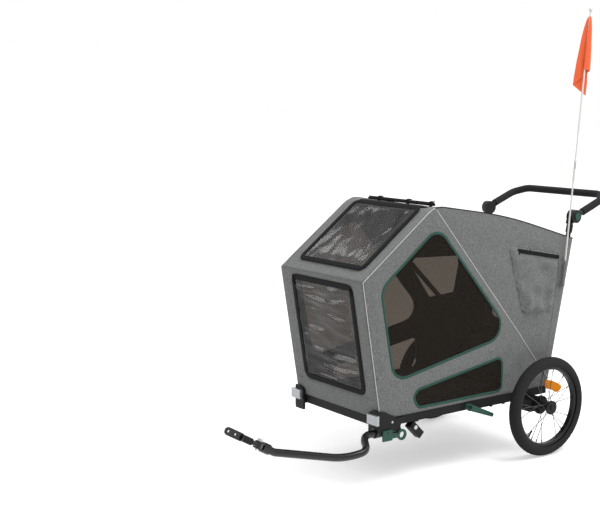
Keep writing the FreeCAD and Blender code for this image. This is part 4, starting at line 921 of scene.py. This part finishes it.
def grip():
    """A foam sleeve round the whole bent handle, from one pivot to the other."""
    tilt, radius, bend, steps = radians(21), 15.5, 45, 8
    pivot_y, pivot_z = 228, 940
    ahead = Vector((0, cos(tilt), sin(tilt)))
    corners = [(249, 43), (249, 165), (205, 215), (-205, 215), (-249, 165), (-249, 43)]
    bends = rounded(corners, bend, steps)[steps + 1:-steps - 1]
    route = [Vector(corners[0])] + bends + [Vector(corners[-1])]
    path = [at(p.x, pivot_y, pivot_z) + ahead * p.y / 1000 for p in route]
    dress(tube("foam_sleeve", [path], radius), FOAM, "push_handle", "grip_foam", "handle_grip")


grip()


# Tow arm

def tow_tube():
    """The tow arm's tube, its low bend drawn out into one long sweep."""
    corners = [(238, -712, 205.7), (238, -862, 205.7), (300, -892, 169.7), (300, -990, 159.7),
               (285, -1285.3, 233.5), (285, -1331.2, 260)]
    radius, bends, steps = 14, (46, 46, 380, 46), 10
    path = [Vector(corners[0])]
    for i, bend in enumerate(bends):
        path += rounded(corners[i:i + 3], bend, steps)[steps + 1:2 * steps + 2]
    path.append(Vector(corners[-1]))
    arm = tube("tow_tube", [[at(*p) for p in path]], radius)
    dress(arm, ENAMEL, "tow_bar", "tow_black", "tow_arm")


tow_tube()


# Floor mat

def fill_quilts(mat, sewn, most):
    """Swells the cloth between its seams by a cloth simulation, by this many millimetres at most."""
    pins = mat.vertex_groups.new(name="sewn")
    pins.add(sewn, 1.0, "ADD")
    filling = mat.modifiers.new("filling", "CLOTH")
    filling.settings.vertex_group_mass = pins.name
    filling.settings.use_pressure = True
    filling.settings.uniform_pressure_force = 4
    filling.settings.effector_weights.gravity = 0
    last_frame = 20
    for step in range(1, last_frame + 1):
        bpy.context.scene.frame_set(step)
    filled = mat.evaluated_get(bpy.context.evaluated_depsgraph_get()).data
    places = [v.co.copy() for v in filled.vertices]
    mat.modifiers.remove(filling)
    bpy.context.scene.frame_set(1)
    for vertex, place in zip(mat.data.vertices, places):
        move = place - vertex.co
        vertex.co += move * min(1, most / 1000 / max(move.length, 1e-6))


def floor_mat():
    """A quilted foam mat: crowned, drawn in at three sewn channels, flat where it lies on the floor."""
    half, low, high, base = 186, -766, 57, 262.4
    across, along = 40, 96
    quilts, channel = 4, 13
    step = (high - low) / quilts

    def shape(u, v):
        y = low + (high - low) * v
        beside = abs((y - low + step / 2) % step - step / 2)
        dip = exp(-(beside / channel) ** 2)
        edge = (1 - abs(2 * v - 1) ** 16) ** 0.5 * (1 - abs(u) ** 10) ** 0.5
        tall = (13 + 4 * (1 - u * u) + 1.2 * puckers((u * half, y, 90), 50)) * edge * (1 - 0.5 * dip)
        return half - 6 * dip - 3 * (1 - edge), y, tall, dip > 0.8 or edge < 0.7

    points, faces, sewn = [], [], []
    for top in (1, 0):
        for j in range(along + 1):
            for i in range(across + 1):
                u = 2 * i / across - 1
                wide, y, tall, seam = shape(u, j / along)
                if seam or not top:
                    sewn.append(len(points))
                points.append(at(u * wide, y, base + top * tall))
    below = (along + 1) * (across + 1)
    for quad in grid_faces(along, across):
        faces.append(quad)
        faces.append([below + k for k in reversed(quad)])
    mat = mesh_piece("mat_quilt", points, faces)
    fill_quilts(mat, sewn, 5)
    dress(mat, QUILT, "base", "mat_fabric", "floor_mat")
    weld = mat.modifiers.new("edges", "WELD")
    weld.merge_threshold = 0.0004


floor_mat()


# Wheels

def on_wheel(x, r, turn):
    """A point on a wheel, from its place across and its radius and turn."""
    return at(x, r * cos(turn), WHEEL_R + r * sin(turn))


def tread(side, sign):
    """A tyre with a diamond tread: blocks between crossing grooves, smooth side walls."""
    bead, ring, thick, depth = 161, 176.5, 23.5, 2.2
    around, across, blocks = 420, 46, 44
    # leans from the crown of the tyre, in radians
    slant, shoulder, rib_at, rib_half = 0.42, 1.02, 1.25, 0.06
    limit = acos((bead - ring) / thick)
    points = []
    for i in range(around):
        turn = 2 * pi * i / around
        for k in range(across + 1):
            lean = limit * (2 * k / across - 1)
            pitch, shift = blocks * i / around, lean / slant
            nearest = min(abs((pitch + shift) % 1 - 0.5), abs((pitch - shift) % 1 - 0.5))
            groove = ease(shoulder - abs(lean), 0.1) if abs(lean) < shoulder else 0
            cut = depth * groove * (1 - ease(nearest, 0.16))
            from_rib = abs(abs(lean) - rib_at)
            rib = 0.5 * ease(rib_half - from_rib, rib_half) if from_rib < rib_half else 0
            r = ring + (thick - cut + rib) * cos(lean)
            x = sign * WHEEL_X + (thick - cut + rib) * sin(lean)
            points.append(on_wheel(x, r, turn))
    tyre = mesh_piece(f"tread_{side}", points, grid_faces(around, across, closed=True))
    dress(tyre, RUBBER, f"{side}_wheel", "tyre_rubber", f"tyre_{side}")


def wheel_details(side, sign):
    """Spoke nipples in the rim, and the valve."""
    paths, count, cross, beside = [], 10, 30, 1.68
    hub_r, flange, rim_r, length, radius = 24, 22, 150, 13, 2.1
    for i in range(2 * count):
        face, lean = 1 - 2 * (i % 2), 1 - 2 * (i // 2 % 2)
        start, end = radians(180 / count * i), radians(180 / count * i + cross * lean)
        inner = on_wheel(sign * (WHEEL_X + face * (flange - 3 * beside) + beside * lean), hub_r, start)
        outer = on_wheel(sign * (WHEEL_X + face * 3 * beside + beside * lean), rim_r, end)
        paths.append([outer, outer + (inner - outer).normalized() * length / 1000])
    dress(tube(f"nipples_{side}", paths, radius), RIM, f"{side}_wheel", "spoke_steel")
    turn = radians(228)
    ends = [on_wheel(sign * WHEEL_X, r, turn) for r in (151, 139, 138, 118)]
    dress(tube(f"valve_{side}", [ends[:2]], 4), RUBBER, f"{side}_wheel", "hub_plastic")
    dress(tube(f"valve_cap_{side}", [ends[2:]], 3.2), NYLON, f"{side}_wheel", "hub_plastic")


def reflector(side, sign):
    """An amber reflector bent a little to the wheel, ribbed across, with rounded ends."""
    inner, outer, first, last, thick, ribs = 76, 112, 37, 98, 5.4, 8
    middle, half_span, straight = radians((first + last) / 2), radians((last - first) / 2), 0.6
    columns, rows, end_share = 72, 10, 0.13
    points, faces = [], []
    for face in (1, -1):
        for i in range(columns + 1):
            t = i / columns
            end = max(1 - min(t, 1 - t) / end_share, 0)
            reach = 0.5 * sqrt(1 - 0.85 * end * end)
            turn = radians(first + (last - first) * t)
            bend = 1 - straight + straight * cos(half_span) / cos(turn - middle)
            bulge = 1.1 * abs(sin(pi * ribs * t))
            for k in range(rows + 1):
                share = k / rows - 0.5
                r = (inner + outer) / 2 * bend + (outer - inner) * 2 * reach * share
                x = face * (thick / 2 - 1.2 + bulge + 0.6 * sqrt(1 - 3.9 * share * share))
                points.append(on_wheel(sign * WHEEL_X + x, r, turn))
    row, half = rows + 1, (columns + 1) * (rows + 1)
    for a, b, c, d in grid_faces(columns, rows):
        faces.append((a, b, c, d))
        faces.append((half + a, half + d, half + c, half + b))
    # the rim of the lens joins its two faces
    rim = list(range(row)) + [i * row + rows for i in range(1, columns + 1)]
    rim += [columns * row + k for k in range(rows - 1, -1, -1)]
    rim += [i * row for i in range(columns - 1, 0, -1)]
    faces += [(a, half + a, half + b, b) for a, b in zip(rim, rim[1:] + rim[:1])]
    lens = mesh_piece(f"reflector_lens_{side}", points, faces)
    dress(lens, AMBER, f"{side}_wheel", "amber_reflector", f"wheel_reflector_{side}")


for side_name, side_sign in SIDES:
    reflector(side_name, side_sign)
    tread(side_name, side_sign)
    wheel_details(side_name, side_sign)


# Everything that shows as it was modelled takes its finish

NODE_FINISH = {
    COATED: ["side_rails", "floor_crossbars", "front_hoop", "ridge_hoop", "rear_hoop"],
    NYLON: ["axle_housings", "corner_brackets", "stroller_sockets", "brake_bracket", "handle_knuckles",
            "hub_left", "hub_right", "wheel_button_left", "wheel_button_right", "zip_slider"],
    ENAMEL: ["tow_receiver", "tow_yoke", "hitch_plate", "frame_hinges"],
    ZINC: ["axle_tube", "stub_axles", "lock_pin_left", "lock_pin_right", "socket_pin_left",
           "socket_pin_right", "hitch_pin"],
    SPOKE_WIRE: ["spokes_left", "spokes_right"],
    RIM: ["rim_left", "rim_right"],
    RUBBER: ["hitch_rubber", "brake_cable"],
    CLEAR: ["front_reflectors"],
    GREEN_ABS: ["tow_lever", "brake_lever", "handle_button_left", "handle_button_right"],
    BLACK_COATED: ["handle_tube"],
    FIBREGLASS: ["flag_pole"],
    FLOOR_BOARD: ["floor_panel"],
}
for finish, names in NODE_FINISH.items():
    for name in names:
        nodes[name].data.materials.clear()
        nodes[name].data.materials.append(finish)

# the slider, like the pocket that it runs on, gets a mesh of its own
crumple(nodes["zip_slider"])


# Floor, light and background

def background_rays(tree):
    """1 for rays that see the background directly, in gloss or through glass, and else 0."""
    ray = node(tree, "ShaderNodeLightPath").outputs
    seen = {0: ray["Is Camera Ray"], 1: ray["Is Glossy Ray"]}
    mirrored = node(tree, "ShaderNodeMath", seen, operation="MAXIMUM")
    through = {0: mirrored.outputs[0], 1: ray["Is Transmission Ray"]}
    return node(tree, "ShaderNodeMath", through, operation="MAXIMUM").outputs[0]


def floor():
    """A pale floor whose own glow, added to the light on it, makes it white to the camera."""
    reach, glow = 30, 0.42
    data = bpy.data.meshes.new("studio_floor")
    corners = [(-reach, -reach, 0), (reach, -reach, 0), (reach, reach, 0), (-reach, reach, 0)]
    data.from_pydata(corners, [], [(0, 1, 2, 3)])
    pale, tree, shader = finish_of("pale floor", "#f4f4f4", 0.9)
    shader.inputs["Emission Color"].default_value = (1, 1, 1, 1)
    level = node(tree, "ShaderNodeMath", {0: background_rays(tree), 1: glow}, operation="MULTIPLY")
    tree.links.new(level.outputs[0], shader.inputs["Emission Strength"])
    data.materials.append(pale)
    placed("studio_floor", data)


def sky():
    """A white background. The light that it casts is strong overhead and weak low down."""
    world = bpy.data.worlds.new("studio")
    bpy.context.scene.world = world
    world.use_nodes = True
    tree = world.node_tree
    heading = node(tree, "ShaderNodeTexCoord").outputs["Generated"]
    height = node(tree, "ShaderNodeSeparateXYZ", {0: heading}).outputs["Z"]
    rise = {"Value": height, "From Min": -0.1, "From Max": 0.8, "To Min": 0.22, "To Max": 0.95}
    dome = node(tree, "ShaderNodeMapRange", rise).outputs[0]
    level = node(tree, "ShaderNodeMapRange", {"Value": background_rays(tree), "To Min": dome, "To Max": 1.0})
    tree.links.new(level.outputs[0], tree.nodes["Background"].inputs["Strength"])
    tree.nodes["Background"].inputs["Color"].default_value = (1, 1, 1, 1)


def lamps():
    """A large soft key high on the left, and two weak strips that streak the clear sheets."""
    target = Vector((0, 0, 0.6))
    fittings = (
        ("key", (1.7, 1.2, 4.3), 2.2, 2.2, 104),
        ("strip_low", (-3.1, -2.8, 1.1), 0.8, 2.0, 20),
        ("strip_high", (-3.3, -0.35, 3.5), 0.4, 1.4, 8),
    )
    for name, place, wide, tall, watts in fittings:
        data = bpy.data.lights.new(name, "AREA")
        data.shape = "RECTANGLE"
        data.size = wide
        data.size_y = tall
        data.energy = watts
        lamp = placed(name, data)
        lamp.location = place
        lamp.visible_camera = False
        lamp.rotation_euler = (target - Vector(place)).to_track_quat("-Z", "Y").to_euler()


floor()
sky()
lamps()

bpy.context.scene.view_settings.view_transform = "Standard"
